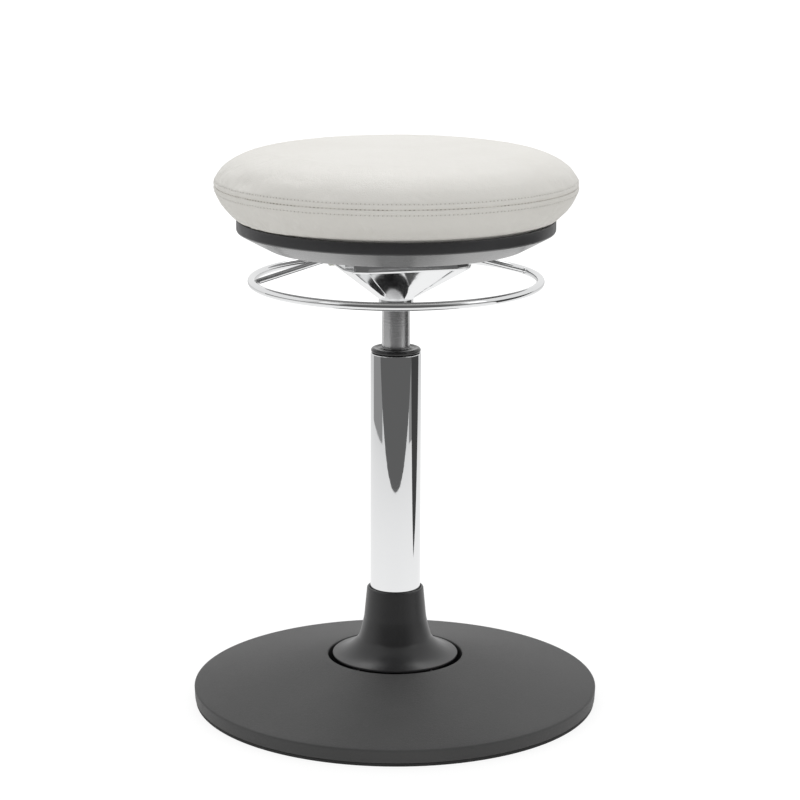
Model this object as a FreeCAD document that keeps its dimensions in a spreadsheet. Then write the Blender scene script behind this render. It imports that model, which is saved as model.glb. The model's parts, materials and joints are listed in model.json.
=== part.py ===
"""Wobble stool: a weighted disc base, a gas-lift column on a sprung ball joint and a round
padded seat with a release ring under it. Millimetres, Z up, origin on the floor under the
middle of the base, seat at its lowest height."""

import FreeCAD, Part
import math
import os
import Sketcher

from FreeCAD import Placement, Rotation, Vector

DRIVING_SIZES = [
    # floor disc
    ("base_radius", 203.2, "outer radius of the base cover"),
    ("base_edge_height", 16.5, "height of the cover's outer edge above the floor"),
    ("base_wall", 3.6, "wall of the moulded base cover"),
    ("base_draft", 0.6, "how far the side wall leans in towards the floor"),
    ("base_edge_round", 1.2, "bevel along the cover's edges"),
    ("well_radius", 67.6, "well that the column tilts in"),
    ("well_rim_height", 46.4, "height of the well's rim"),
    ("well_floor_thickness", 2.5, "floor of the well"),
    ("foot_height", 3.0, "rubber foot ring"),
    ("foot_inset", 1.4, "foot ring inside the cover's edge"),
    ("foot_width", 12.0, "radial width of the foot ring"),
    ("plate_thickness", 6.0, "steel floor plate"),
    ("part_gap", 0.3, "gap beside pieces that are bolted together"),
    ("ballast_thickness", 6.5, "cast ring on the floor plate"),
    ("ballast_width", 87.0, "radial width of the cast ring"),
    ("ballast_edge", 7.5, "cast ring inside the circle of cover screws"),
    ("cover_screw_inset", 18.7, "circle of cover screws inside the cover's edge"),
    ("cover_screw_radius", 2.0, "shank of a cover screw"),
    ("cover_screw_head", 4.0, "head radius of a cover screw"),
    ("cover_boss_radius", 5.0, "screw boss inside the cover"),
    ("cover_screw_count", 6, "cover screws"),
    # ball joint
    ("pivot_rise", 16.0, "ball's centre above the floor plate"),
    ("ball_radius", 15.0, "steel ball"),
    ("liner_wall", 2.9, "polymer liner between ball and socket"),
    ("liner_drop", 13.0, "liner below the ball's centre"),
    ("liner_rise", 8.0, "liner above the ball's centre"),
    ("running_gap", 0.05, "clearance between sliding faces"),
    ("housing_radius", 31.0, "outside of the socket housing"),
    ("housing_flange_width", 23.0, "flange of the socket housing"),
    ("housing_flange_thickness", 5.0, "flange of the socket housing"),
    ("housing_rise", 8.0, "top of the housing above the ball's centre"),
    ("housing_floor_gap", 0.4, "housing above the underside of the floor plate"),
    ("thread_radius", 25.0, "thread between housing and retaining ring"),
    ("retainer_flange", 3.0, "spanner flange of the retaining ring"),
    ("housing_bolt_offset", 15.5, "housing's bolts outside its barrel"),
    ("housing_bolt_radius", 4.0, "M8 shank"),
    ("housing_bolt_head_radius", 6.5, "M8 socket head"),
    ("housing_bolt_head_height", 8.0, "M8 socket head"),
    ("housing_bolt_count", 6, "bolts that hold the socket housing"),
    ("washer_thickness", 1.6, "steel washer"),
    ("washer_overhang", 1.0, "washer beyond the bolt head"),
    ("buffer_wall", 5.5, "wall of the rubber return buffer"),
    ("neck_radius", 10.0, "neck above the ball"),
    ("disc_rise", 17.0, "carrier's disc above the ball's centre"),
    ("disc_thickness", 8.0, "carrier's disc"),
    ("disc_radius", 46.0, "carrier's disc"),
    ("hub_wall", 4.2, "wall of the hub that grips the column tube"),
    ("hub_height", 28.0, "hub that grips the column tube"),
    ("clip_recess_radius", 14.0, "recess under the tube for the rod's clip"),
    ("clip_recess_depth", 4.0, "recess under the tube for the rod's clip"),
    # trumpet cover
    ("well_gap", 4.4, "gap between the trumpet's rim and the well"),
    ("trumpet_rise", 1.0, "trumpet's rim above the well's rim"),
    ("flare_radius", 48.4, "point low on the flare"),
    ("flare_rise", 5.6, "point low on the flare, above the rim"),
    ("knee_radius", 36.9, "point between flare and neck"),
    ("knee_rise", 16.4, "point between flare and neck, above the rim"),
    ("bend_radius", 33.6, "point low on the neck"),
    ("bend_rise", 27.6, "point low on the neck, above the rim"),
    ("throat_radius", 31.2, "where the straight neck starts"),
    ("throat_rise", 38.6, "where the straight neck starts, above the rim"),
    ("neck_top_wall", 3.3, "trumpet's top edge outside the column tube"),
    ("neck_top_rise", 69.2, "top of the trumpet above its rim"),
    ("trumpet_wall", 2.3, "wall of the trumpet cover"),
    ("trumpet_lip", 1.0, "bevels of the trumpet's edges"),
    ("rib_width", 6.0, "screw rib inside the trumpet"),
    ("trumpet_screw_inset", 5.0, "trumpet's screws inside the disc's edge"),
    ("trumpet_screw_radius", 2.0, "M4 shank"),
    ("trumpet_screw_head", 3.5, "M4 head radius"),
    ("trumpet_screw_head_height", 3.0, "M4 head"),
    ("trumpet_screw_grip", 3.0, "screw inside the trumpet's rib"),
    ("trumpet_screw_count", 3, "screws that hold the trumpet"),
    # column and gas lift
    ("tube_radius", 25.1, "outside of the chromed column tube"),
    ("tube_wall", 1.9, "wall of the column tube"),
    ("tube_seat", 2.0, "tube's end above the carrier's disc"),
    ("tube_length", 304.9, "chromed column tube"),
    ("tube_edge", 0.8, "rounding of the tube's upper end"),
    ("tube_taper", 0.9, "how much the lower end narrows on the radius"),
    ("end_plate_thickness", 5.0, "plate that closes the tube"),
    ("bearing_radius", 15.0, "thrust bearing washers"),
    ("bearing_washer", 2.0, "thrust bearing washers"),
    ("bearing_ball_radius", 2.0, "thrust bearing balls"),
    ("bearing_ball_circle", 10.8, "circle of the balls"),
    ("bearing_ball_count", 12, "thrust bearing balls"),
    ("cage_thickness", 1.4, "thrust bearing cage"),
    ("rod_radius", 5.0, "piston rod"),
    ("clip_thickness", 1.2, "clip on the rod's lower end"),
    ("clip_radius", 8.5, "clip on the rod's lower end"),
    ("stop_height", 12.0, "rubber stop on the rod"),
    ("stop_radius", 11.5, "rubber stop on the rod"),
    ("lift_travel", 195.0, "height adjustment"),
    ("piston_height", 12.0, "piston on the rod"),
    ("piston_groove", 3.0, "groove for the piston's ring"),
    ("piston_spare", 4.0, "piston above the rod seal with the seat fully raised"),
    ("lift_tube_radius", 14.0, "outside of the inner gas tube"),
    ("lift_tube_wall", 1.5, "wall of the inner gas tube"),
    ("rod_guide_height", 18.0, "guide that closes the gas tube"),
    ("rod_seal_height", 5.0, "seal above the rod guide"),
    ("cone_exposed", 20.0, "narrowing part of the gas tube below the bracket"),
    ("cone_slope", 0.025, "narrowing of the gas tube per millimetre, on the radius"),
    ("bush_length", 55.0, "guide bush inside the column tube"),
    ("bush_flange_radius", 24.6, "glossy flange of the guide bush"),
    ("bush_flange_height", 4.6, "glossy flange of the guide bush"),
    ("valve_height", 24.0, "valve body in the top of the gas tube"),
    ("valve_recess", 2.0, "valve body below the end of the gas tube"),
    ("pin_radius", 2.5, "release pin"),
    ("pin_head_radius", 4.0, "button on the release pin"),
    ("pin_stem", 13.0, "release pin inside the valve"),
    ("pin_travel_room", 2.4, "space under the button"),
    # bracket
    ("bracket_angle", 15.2, "turn of the bracket about the column, degrees"),
    ("hub_exposure", 48.1, "bracket above the column tube at the lowest seat height"),
    ("bracket_hub_radius", 17.2, "lower end of the bracket's hub"),
    ("bracket_hub_straight", 6.0, "straight part of the bracket's hub"),
    ("bracket_depth", 45.2, "bracket's lip above the end of its hub"),
    ("bracket_reach", 82.9, "axis to the bracket's rounded corner"),
    ("bracket_rounding", 19.0, "rounding of the bracket's corners"),
    ("bracket_lip", 2.0, "height of the lip"),
    ("bracket_lip_step", 1.0, "lip in front of the wall above it"),
    ("bracket_wall_height", 4.2, "wall above the lip"),
    ("cone_grip", 32.0, "length of the cone inside the bracket's hub"),
    ("cone_stand", 4.0, "gas tube above the floor of the bracket's cavity"),
    ("cavity_floor_radius", 30.0, "floor of the space inside the bracket"),
    ("cavity_mouth_radius", 56.0, "mouth of the space inside the bracket"),
    ("counter_plate_thickness", 3.8, "steel plate on top of the bracket"),
    ("counter_plate_inset", 3.0, "steel plate inside the bracket's outline"),
    ("counter_plate_bore", 14.0, "hole in the middle of the steel plate"),
    # release ring
    ("ring_radius", 141.6, "middle of the ring's wire"),
    ("ring_wire_radius", 4.0, "ring's wire"),
    ("ring_drop", 20.0, "ring below its cross rod"),
    ("spoke_radius", 3.0, "cross rod and spokes"),
    ("lever_drop", 7.4, "cross rod below the bracket's top"),
    ("lever_offset", 15.0, "cross rod behind the column's axis"),
    ("lever_half_length", 66.0, "straight half of the cross rod"),
    ("spoke_bend_radius", 30.0, "bend between cross rod and spoke"),
    ("block_half_width", 5.5, "pivot block"),
    ("block_length", 8.0, "pivot block along the rod"),
    ("block_gap", 0.1, "pivot block in its slot"),
    ("paddle_half_width", 7.0, "paddle that presses the pin"),
    ("paddle_overhang", 5.0, "paddle beyond the pin's axis and behind the rod"),
    ("pin_rest_gap", 0.2, "paddle above the pin at rest"),
    # seat
    ("pan_radius", 155.4, "rim of the seat pan"),
    ("pan_depth", 19.8, "pan's rim above its flat bottom"),
    ("pan_rim_edge", 0.8, "upright edge of the pan's rim"),
    ("pan_rim_width", 14.4, "solid rim of the pan"),
    ("pan_thickness", 2.4, "pan's wall"),
    ("pan_flat_inset", 55.4, "flat bottom of the pan, inside its rim"),
    ("pan_knee_inset", 28.4, "where the pan's side starts, inside its rim"),
    ("pan_knee_rise", 3.6, "knee above the flat bottom"),
    ("pan_side_inset", 15.5, "point on the pan's curved side, inside its rim"),
    ("pan_side_rise", 10.4, "point on the pan's curved side, above the flat bottom"),
    ("pan_bore", 16.0, "hole in the middle of the pan"),
    ("band_overhang", 0.7, "rim band outside the pan"),
    ("band_height", 8.5, "black rim band"),
    ("band_wall", 4.2, "upright wall of the rim band"),
    ("band_foot", 1.5, "foot of the rim band under the board"),
    ("band_foot_width", 8.9, "foot of the rim band under the board"),
    ("band_round", 0.8, "bevels of the rim band"),
    ("board_thickness", 10.0, "plywood seat board"),
    ("seat_bolt_circle", 73.0, "circle of the seat bolts"),
    ("seat_bolt_radius", 3.0, "M6 shank"),
    ("seat_bolt_head_radius", 5.0, "M6 head"),
    ("seat_bolt_head_height", 6.0, "M6 head"),
    ("seat_bolt_count", 4, "bolts through the bracket's corners"),
    ("seat_bolt_ear", 5.4, "metal under the bracket's top that a bolt clamps"),
    ("spacer_wall", 3.2, "spacer tube between pan and board"),
    ("tee_flange_radius", 8.5, "flange of a tee nut"),
    ("tee_flange", 1.2, "flange of a tee nut"),
    ("tee_barrel_wall", 0.9, "barrel of a tee nut"),
    ("leather", 1.2, "thickness of the seat cover"),
    ("cover_tuck", 11.0, "cover folded under the board"),
    ("tuck_gap", 0.7, "seat cover inside the rim band"),
    ("seam_overhang", 21.8, "seam round the cushion, outside the pan's rim"),
    ("seam_rise", 44.4, "seam above the pan's rim"),
    ("seam_gap", 0.2, "gap between the two cover panels"),
    ("cushion_foot_overhang", 4.0, "cushion outside its tuck where it leaves the rim band"),
    ("cushion_foot_rise", 11.2, "where the cushion leaves the rim band"),
    ("belly_inset", 8.0, "point on the cushion's lower side, inside the seam"),
    ("belly_rise", 25.3, "point on the cushion's lower side"),
    ("cheek_inset", 6.8, "point above the seam, inside it"),
    ("cheek_rise", 58.7, "point above the seam"),
    ("brow_inset", 18.1, "where the side turns into the top, inside the seam"),
    ("brow_rise", 67.1, "where the side turns into the top"),
    ("slope_inset", 37.7, "point on the top's outer slope, inside the seam"),
    ("slope_rise", 74.3, "point on the top's outer slope"),
    ("shoulder_inset", 61.2, "where the crown starts, inside the seam"),
    ("shoulder_rise", 76.9, "where the crown starts"),
    ("crown_rise", 78.6, "middle of the cushion"),
    ("foam_gap", 0.2, "foam and board inside the cover"),
]

FULL_TURN = 360
EIGHTH_TURN = 45
CLIP_TURN = 300
HALF_DIAGONAL = 1 / math.sqrt(2)
# Where the four rib arcs of a round section start and end, as shares of its radius.
HUB_NEAR = math.sin(math.radians(25))
HUB_FAR = math.cos(math.radians(25))

os.makedirs("parts", exist_ok=True)
doc = FreeCAD.newDocument("WobbleStool")


class Size:
    """A size that holds its number and the formula of sheet cells that gives it."""

    def __init__(self, number, formula):
        self.number = float(number)
        self.formula = formula

    @staticmethod
    def of(value):
        return value if isinstance(value, Size) else Size(value, repr(float(value)))

    def _with(self, sign, other, number):
        return Size(number, f"({self.formula} {sign} {Size.of(other).formula})")

    def __add__(self, other):
        return self._with("+", other, self.number + Size.of(other).number)

    def __sub__(self, other):
        return self._with("-", other, self.number - Size.of(other).number)

    def __mul__(self, other):
        return self._with("*", other, self.number * Size.of(other).number)

    def __truediv__(self, other):
        return self._with("/", other, self.number / Size.of(other).number)

    def __radd__(self, other):
        return Size.of(other) + self

    def __rsub__(self, other):
        return Size.of(other) - self

    def __rmul__(self, other):
        return Size.of(other) * self

    def __neg__(self):
        return Size(-self.number, f"(0 - {self.formula})")


def root(size):
    return Size(math.sqrt(size.number), f"sqrt({size.formula})")


class Sizes:
    """The sheet of driving sizes; each is read as an attribute, such as z.base_radius."""

    def __init__(self, rows):
        self._sheet = doc.addObject("Spreadsheet::Sheet", "Sizes")
        for row, (name, value, meaning) in enumerate(rows, start=1):
            self._sheet.set(f"A{row}", name)
            self._sheet.set(f"B{row}", str(value))
            self._sheet.set(f"C{row}", meaning)
            self._sheet.setAlias(f"B{row}", name)
        doc.recompute()

    def __getattr__(self, name):
        return Size(self._sheet.get(name), f"Sizes.{name}")


z = Sizes(DRIVING_SIZES)
parts = []


def new_body(label, turn=None, loose_pieces=False):
    """An empty body, turned about the column by a bound angle."""
    body = doc.addObject("PartDesign::Body", label)
    body.Label = label
    body.AllowCompound = loose_pieces
    if turn is not None:
        body.Placement = Placement(Vector(0, 0, 0), Rotation(Vector(0, 0, 1), turn.number))
        body.setExpression(".Placement.Rotation.Angle", turn.formula)
    parts.append(body)
    return body


def origin_feature(body, role):
    return next(item for item in body.Origin.OriginFeatures if item.Role == role)


def new_sketch(body, plane, offset=None):
    """A sketch on one of the body's origin planes, moved along its normal."""
    sketch = body.newObject("Sketcher::SketchObject", body.Label + "_sketch")
    sketch.AttachmentSupport = [(origin_feature(body, plane), "")]
    sketch.MapMode = "FlatFace"
    if offset is not None:
        offset = Size.of(offset)
        sketch.AttachmentOffset = Placement(Vector(0, 0, offset.number), Rotation())
        sketch.setExpression("AttachmentOffset.Base.z", offset.formula)
    return sketch


def bind(sketch, constraint, size):
    number = sketch.addConstraint(constraint)
    sketch.setExpression(f"Constraints[{number}]", size.formula)


def pin_point(sketch, edge, end, across, up):
    """Hold one end of an edge at a distance across and up from the sketch's origin."""
    across = Size.of(across)
    up = Size.of(up)
    if across.number == 0:
        sketch.addConstraint(Sketcher.Constraint("PointOnObject", edge, end, -2))
    else:
        bind(sketch, Sketcher.Constraint("DistanceX", -1, 1, edge, end, across.number), across)
    if up.number == 0:
        sketch.addConstraint(Sketcher.Constraint("PointOnObject", edge, end, -1))
    else:
        bind(sketch, Sketcher.Constraint("DistanceY", -1, 1, edge, end, up.number), up)


def flat_point(corner):
    return Vector(Size.of(corner[0]).number, Size.of(corner[1]).number, 0)


def draw_outline(sketch, corners):
    """Closed outline through corners (across, up); a corner with two more sizes is reached by
    an arc that passes through that second point."""
    ends = []
    for index, corner in enumerate(corners):
        start = flat_point(corners[index - 1])
        end = flat_point(corner)
        if len(corner) == 2:
            edge = sketch.addGeometry(Part.LineSegment(start, end), False)
            ends.append((edge, 1, 2))
            continue
        middle = flat_point(corner[2:])
        if (middle - start).cross(end - middle).z > 0:
            edge = sketch.addGeometry(Part.Arc(start, middle, end), False)
            ends.append((edge, 1, 2))
        else:
            edge = sketch.addGeometry(Part.Arc(end, middle, start), False)
            ends.append((edge, 2, 1))
        mark = sketch.addGeometry(Part.Point(middle), True)
        sketch.addConstraint(Sketcher.Constraint("PointOnObject", mark, 1, edge))
        pin_point(sketch, mark, 1, corner[2], corner[3])
    for index, (edge, _, finish) in enumerate(ends):
        following, start, _ = ends[(index + 1) % len(ends)]
        sketch.addConstraint(Sketcher.Constraint("Coincident", edge, finish, following, start))
        pin_point(sketch, edge, finish, corners[index][0], corners[index][1])


def draw_circle(sketch, across, up, radius):
    centre = Vector(Size.of(across).number, Size.of(up).number, 0)
    circle = sketch.addGeometry(Part.Circle(centre, Vector(0, 0, 1), radius.number), False)
    pin_point(sketch, circle, 3, across, up)
    bind(sketch, Sketcher.Constraint("Radius", circle, radius.number), radius)


def revolve(body, corners, axis_at=None, angle=FULL_TURN):
    """Turn an outline in the XZ plane about the column's axis, or about a line beside it."""
    sketch = new_sketch(body, "XZ_Plane")
    axis_name = "V_Axis"
    if axis_at is not None:
        draw_axis(sketch, axis_at, corners)
        axis_name = "Axis0"
    draw_outline(sketch, corners)
    turned = body.newObject("PartDesign::Revolution", body.Label + "_turned")
    turned.Profile = sketch
    turned.ReferenceAxis = (sketch, [axis_name])
    turned.Angle = angle
    return turned


def draw_axis(sketch, axis_at, corners):
    """Upright construction line that a small piece is turned about."""
    low = min(Size.of(corner[1]).number for corner in corners)
    high = max(Size.of(corner[1]).number for corner in corners)
    line = Part.LineSegment(Vector(axis_at.number, low, 0), Vector(axis_at.number, high, 0))
    edge = sketch.addGeometry(line, True)
    sketch.addConstraint(Sketcher.Constraint("Vertical", edge))
    bind(sketch, Sketcher.Constraint("DistanceX", -1, 1, edge, 1, axis_at.number), axis_at)


def pattern(body, feature, count):
    """Repeat a feature evenly round the column's axis."""
    copies = body.newObject("PartDesign::PolarPattern", body.Label + "_pattern")
    copies.Originals = [feature]
    copies.Axis = (origin_feature(body, "Z_Axis"), [""])
    copies.Angle = FULL_TURN
    copies.setExpression("Occurrences", count.formula)
    body.Tip = copies
    return copies


def drill(body, across, along, top, depth, radius, count):
    """Round holes from a height downwards, repeated round the column's axis."""
    doc.recompute()
    before = body.Shape.Volume
    sketch = new_sketch(body, "XY_Plane", top)
    draw_circle(sketch, across, along, radius)
    hole = body.newObject("PartDesign::Pocket", body.Label + "_hole")
    hole.Profile = sketch
    hole.setExpression("Length", Size.of(depth).formula)
    doc.recompute()
    if hole.Shape.Volume >= before:
        raise RuntimeError(f"{body.Label}: a hole removed nothing")
    pattern(body, hole, count)


def pad(body, sketch, length):
    solid = body.newObject("PartDesign::Pad", body.Label + "_pad")
    solid.Profile = sketch
    solid.setExpression("Length", Size.of(length).formula)
    return solid


def turned_piece(label, corners, turn=None):
    body = new_body(label, turn)
    revolve(body, corners)
    return body


def turned_group(label, corners, circle, count, turn=None):
    """Identical small turned pieces on a circle, kept as separate solids in one node."""
    body = new_body(label, turn, loose_pieces=True)
    doc.recompute()
    first = revolve(body, corners, axis_at=circle)
    doc.recompute()
    pattern(body, first, count)
    return body


def rounded_square(half, rounding):
    """Outline of a square with round corners, as corners for draw_outline."""
    flat = half - rounding
    bow = half - rounding * (1 - HALF_DIAGONAL)
    outline = []
    for right, up in ((1, 1), (-1, 1), (-1, -1), (1, -1)):
        if right == up:
            outline.append((half * right, flat * up))
            outline.append((flat * right, half * up, bow * right, bow * up))
        else:
            outline.append((flat * right, half * up))
            outline.append((half * right, flat * up, bow * right, bow * up))
    return outline


def four_ribs(near, far, rib, waist):
    """Section of the bracket: four rounded ribs on the diagonals, joined by curved faces."""
    return [
        (near, far, rib, rib),
        (-near, far, 0, waist),
        (-far, near, -rib, rib),
        (-far, -near, -waist, 0),
        (-near, -far, -rib, -rib),
        (near, -far, 0, -waist),
        (far, -near, rib, -rib),
        (far, near, waist, 0),
    ]


# Heights up the stool, each stacked on the piece that carries it.
plate_top = z.foot_height + z.plate_thickness
pivot = plate_top + z.pivot_rise
disc_bottom = pivot + z.disc_rise
disc_top = disc_bottom + z.disc_thickness
tube_bottom = disc_top + z.tube_seat
tube_top = tube_bottom + z.tube_length
rim_height = z.well_rim_height + z.trumpet_rise
hub_bottom = tube_top + z.hub_exposure
cavity_floor = hub_bottom + z.cone_grip
lift_tube_top = cavity_floor + z.cone_stand
lip_height = hub_bottom + z.bracket_depth
bracket_top = lip_height + z.bracket_lip + z.bracket_wall_height
lever_height = bracket_top - z.lever_drop
ring_height = lever_height - z.ring_drop
pan_bottom = bracket_top + z.counter_plate_thickness
pan_rim = pan_bottom + z.pan_depth
foot_top = pan_rim + z.band_foot
board_bottom = foot_top + z.leather + z.foam_gap
board_top = board_bottom + z.board_thickness
bolt_seat = bracket_top - z.seat_bolt_ear

# Radii that several pieces share.
cover_inner = z.base_radius - z.base_draft - z.base_wall
cover_screw_circle = z.base_radius - z.cover_screw_inset
cover_slope = (z.well_rim_height - z.base_edge_height) / (z.base_radius - z.well_radius)
liner_inner = z.ball_radius + z.running_gap
liner_outer = liner_inner + z.liner_wall
socket = liner_outer + z.running_gap
flange_radius = z.housing_radius + z.housing_flange_width
housing_bolt_circle = z.housing_radius + z.housing_bolt_offset
rim_radius = z.well_radius - z.well_gap
trumpet_screw_circle = z.disc_radius - z.trumpet_screw_inset
tube_bore = z.tube_radius - z.tube_wall
lift_tube_bore = z.lift_tube_radius - z.lift_tube_wall
band_radius = z.pan_radius + z.band_overhang
band_bore = band_radius - z.band_wall
tuck_radius = band_bore - z.tuck_gap
board_radius = tuck_radius - z.leather - z.foam_gap
pan_knee_radius = z.pan_radius - z.pan_knee_inset
pan_side_radius = z.pan_radius - z.pan_side_inset
pan_flat_radius = z.pan_radius - z.pan_flat_inset
seam_radius = z.pan_radius + z.seam_overhang
cushion_foot_radius = tuck_radius + z.cushion_foot_overhang
bolt_diagonal = z.seat_bolt_circle * HALF_DIAGONAL
tee_barrel_radius = z.seat_bolt_radius + z.running_gap + z.tee_barrel_wall


def cone_radius(height):
    """Outside of the gas tube on its narrowing end."""
    return z.lift_tube_radius - z.cone_slope * (height - hub_bottom + z.cone_exposed)


def make_base():
    """Floor disc: cover, steel plate, cast ring, foot ring and the cover's screws."""
    inner_edge = z.base_edge_height - z.base_wall + cover_slope * z.base_wall
    well_outer = z.well_radius + z.base_wall
    well_floor = plate_top + z.well_floor_thickness
    flange_bore = flange_radius + z.part_gap
    inner_rim = inner_edge + cover_slope * (cover_inner - well_outer)
    wall_foot = z.base_radius - z.base_draft
    cover = turned_piece("base_cover", [
        (cover_inner, z.foot_height),
        (wall_foot - z.base_edge_round, z.foot_height),
        (wall_foot, z.foot_height + z.base_edge_round),
        (z.base_radius, z.base_edge_height - z.base_edge_round),
        (z.base_radius - z.base_edge_round, z.base_edge_height + cover_slope * z.base_edge_round),
        (z.well_radius + z.base_edge_round,
         z.well_rim_height - cover_slope * z.base_edge_round),
        (z.well_radius, z.well_rim_height - z.base_edge_round),
        (z.well_radius, well_floor),
        (flange_bore, well_floor),
        (flange_bore, plate_top),
        (well_outer, plate_top),
        (well_outer, inner_rim),
        (cover_inner, inner_edge),
    ])
    boss_top = inner_edge + cover_slope * (cover_inner - cover_screw_circle)
    boss_top = boss_top + z.base_wall / 2
    screw_top = boss_top - z.base_wall / 2
    boss_sketch = new_sketch(cover, "XY_Plane", plate_top)
    draw_circle(boss_sketch, cover_screw_circle, 0, z.cover_boss_radius)
    boss = pad(cover, boss_sketch, boss_top - plate_top)
    doc.recompute()
    pattern(cover, boss, z.cover_screw_count)
    drill(cover, cover_screw_circle, 0, screw_top + z.part_gap,
          screw_top + z.part_gap - plate_top, z.cover_screw_radius + z.running_gap,
          z.cover_screw_count)

    plate_bore = z.housing_radius + z.running_gap
    plate_radius = cover_inner - z.part_gap
    plate = turned_piece("base_plate", [
        (plate_bore, z.foot_height),
        (plate_radius, z.foot_height),
        (plate_radius, plate_top),
        (plate_bore, plate_top),
    ])
    drill(plate, housing_bolt_circle, 0, plate_top, z.plate_thickness,
          z.housing_bolt_radius + z.running_gap, z.housing_bolt_count)
    drill(plate, cover_screw_circle, 0, plate_top, z.plate_thickness,
          z.cover_screw_radius + z.part_gap, z.cover_screw_count)
    drill(plate, cover_screw_circle, 0, z.foot_height + z.plate_thickness / 2,
          z.plate_thickness / 2, z.cover_screw_head + z.part_gap, z.cover_screw_count)

    ballast_outer = cover_screw_circle - z.ballast_edge
    turned_piece("ballast_ring", [
        (ballast_outer - z.ballast_width, plate_top),
        (ballast_outer, plate_top),
        (ballast_outer, plate_top + z.ballast_thickness),
        (ballast_outer - z.ballast_width, plate_top + z.ballast_thickness),
    ])

    foot_outer = z.base_radius - z.foot_inset
    turned_piece("foot_ring", [
        (foot_outer - z.foot_width, 0),
        (foot_outer - z.base_edge_round / 2, 0),
        (foot_outer, z.base_edge_round / 2),
        (foot_outer, z.foot_height),
        (foot_outer - z.foot_width, z.foot_height),
    ])

    head_bottom = z.foot_height + z.plate_thickness / 12
    head_top = z.foot_height + z.plate_thickness / 2
    turned_group("cover_screws", [
        (cover_screw_circle, head_bottom),
        (cover_screw_circle + z.cover_screw_head, head_bottom),
        (cover_screw_circle + z.cover_screw_head, head_top),
        (cover_screw_circle + z.cover_screw_radius, head_top),
        (cover_screw_circle + z.cover_screw_radius, screw_top),
        (cover_screw_circle, screw_top),
    ], cover_screw_circle, z.cover_screw_count)


def make_socket():
    """Socket housing on the floor plate, its retaining ring, bolts and rubber buffer."""
    flange_top = plate_top + z.housing_flange_thickness
    housing_top = pivot + z.housing_rise
    housing_bottom = z.foot_height + z.housing_floor_gap
    housing = turned_piece("socket_housing", [
        (0, housing_bottom),
        (z.housing_radius, housing_bottom),
        (z.housing_radius, plate_top),
        (flange_radius, plate_top),
        (flange_radius, flange_top),
        (z.housing_radius, flange_top),
        (z.housing_radius, housing_top),
        (z.thread_radius, housing_top),
        (z.thread_radius, pivot),
        (socket, pivot),
        (0, pivot - socket, socket * HALF_DIAGONAL, pivot - socket * HALF_DIAGONAL),
    ])
    drill(housing, housing_bolt_circle, 0, flange_top, z.housing_flange_thickness,
          z.housing_bolt_radius + z.part_gap, z.housing_bolt_count)

    retainer_top = housing_top + z.retainer_flange
    mouth = root(socket * socket - z.housing_rise * z.housing_rise)
    half_rise = z.housing_rise / 2
    half_way = root(socket * socket - half_rise * half_rise)
    turned_piece("retaining_ring", [
        (socket, pivot, half_way, pivot + half_rise),
        (z.thread_radius - z.running_gap, pivot),
        (z.thread_radius - z.running_gap, housing_top),
        (z.housing_radius - z.base_edge_round, housing_top),
        (z.housing_radius - z.base_edge_round, retainer_top),
        (mouth + z.retainer_flange, retainer_top),
        (mouth, housing_top),
    ])

    washer_top = flange_top + z.washer_thickness
    head_top = washer_top + z.housing_bolt_head_height
    washer_radius = z.housing_bolt_head_radius + z.washer_overhang
    shank_hole = z.housing_bolt_radius + z.part_gap
    turned_group("housing_washers", [
        (housing_bolt_circle + shank_hole, flange_top),
        (housing_bolt_circle + washer_radius, flange_top),
        (housing_bolt_circle + washer_radius, washer_top),
        (housing_bolt_circle + shank_hole, washer_top),
    ], housing_bolt_circle, z.housing_bolt_count)
    turned_group("housing_bolts", [
        (housing_bolt_circle, housing_bottom),
        (housing_bolt_circle + z.housing_bolt_radius, housing_bottom),
        (housing_bolt_circle + z.housing_bolt_radius, washer_top),
        (housing_bolt_circle + z.housing_bolt_head_radius, washer_top),
        (housing_bolt_circle + z.housing_bolt_head_radius, head_top),
        (housing_bolt_circle, head_top),
    ], housing_bolt_circle, z.housing_bolt_count)

    buffer_bore = z.housing_radius + z.part_gap
    buffer_middle = (flange_top + disc_bottom) / 2
    turned_piece("rubber_buffer", [
        (buffer_bore, flange_top),
        (buffer_bore + z.buffer_wall, flange_top),
        (buffer_bore + z.buffer_wall, disc_bottom,
         buffer_bore + z.buffer_wall - z.part_gap * 2, buffer_middle),
        (buffer_bore, disc_bottom),
    ])


def make_liner():
    """Polymer liner: a zone of a hollow sphere round the ball."""
    inner_low = root(liner_inner * liner_inner - z.liner_drop * z.liner_drop)
    outer_low = root(liner_outer * liner_outer - z.liner_drop * z.liner_drop)
    inner_high = root(liner_inner * liner_inner - z.liner_rise * z.liner_rise)
    outer_high = root(liner_outer * liner_outer - z.liner_rise * z.liner_rise)
    turned_piece("ball_liner", [
        (inner_low, pivot - z.liner_drop, liner_inner, pivot),
        (outer_low, pivot - z.liner_drop),
        (outer_high, pivot + z.liner_rise, liner_outer, pivot),
        (inner_high, pivot + z.liner_rise),
    ])


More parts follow.
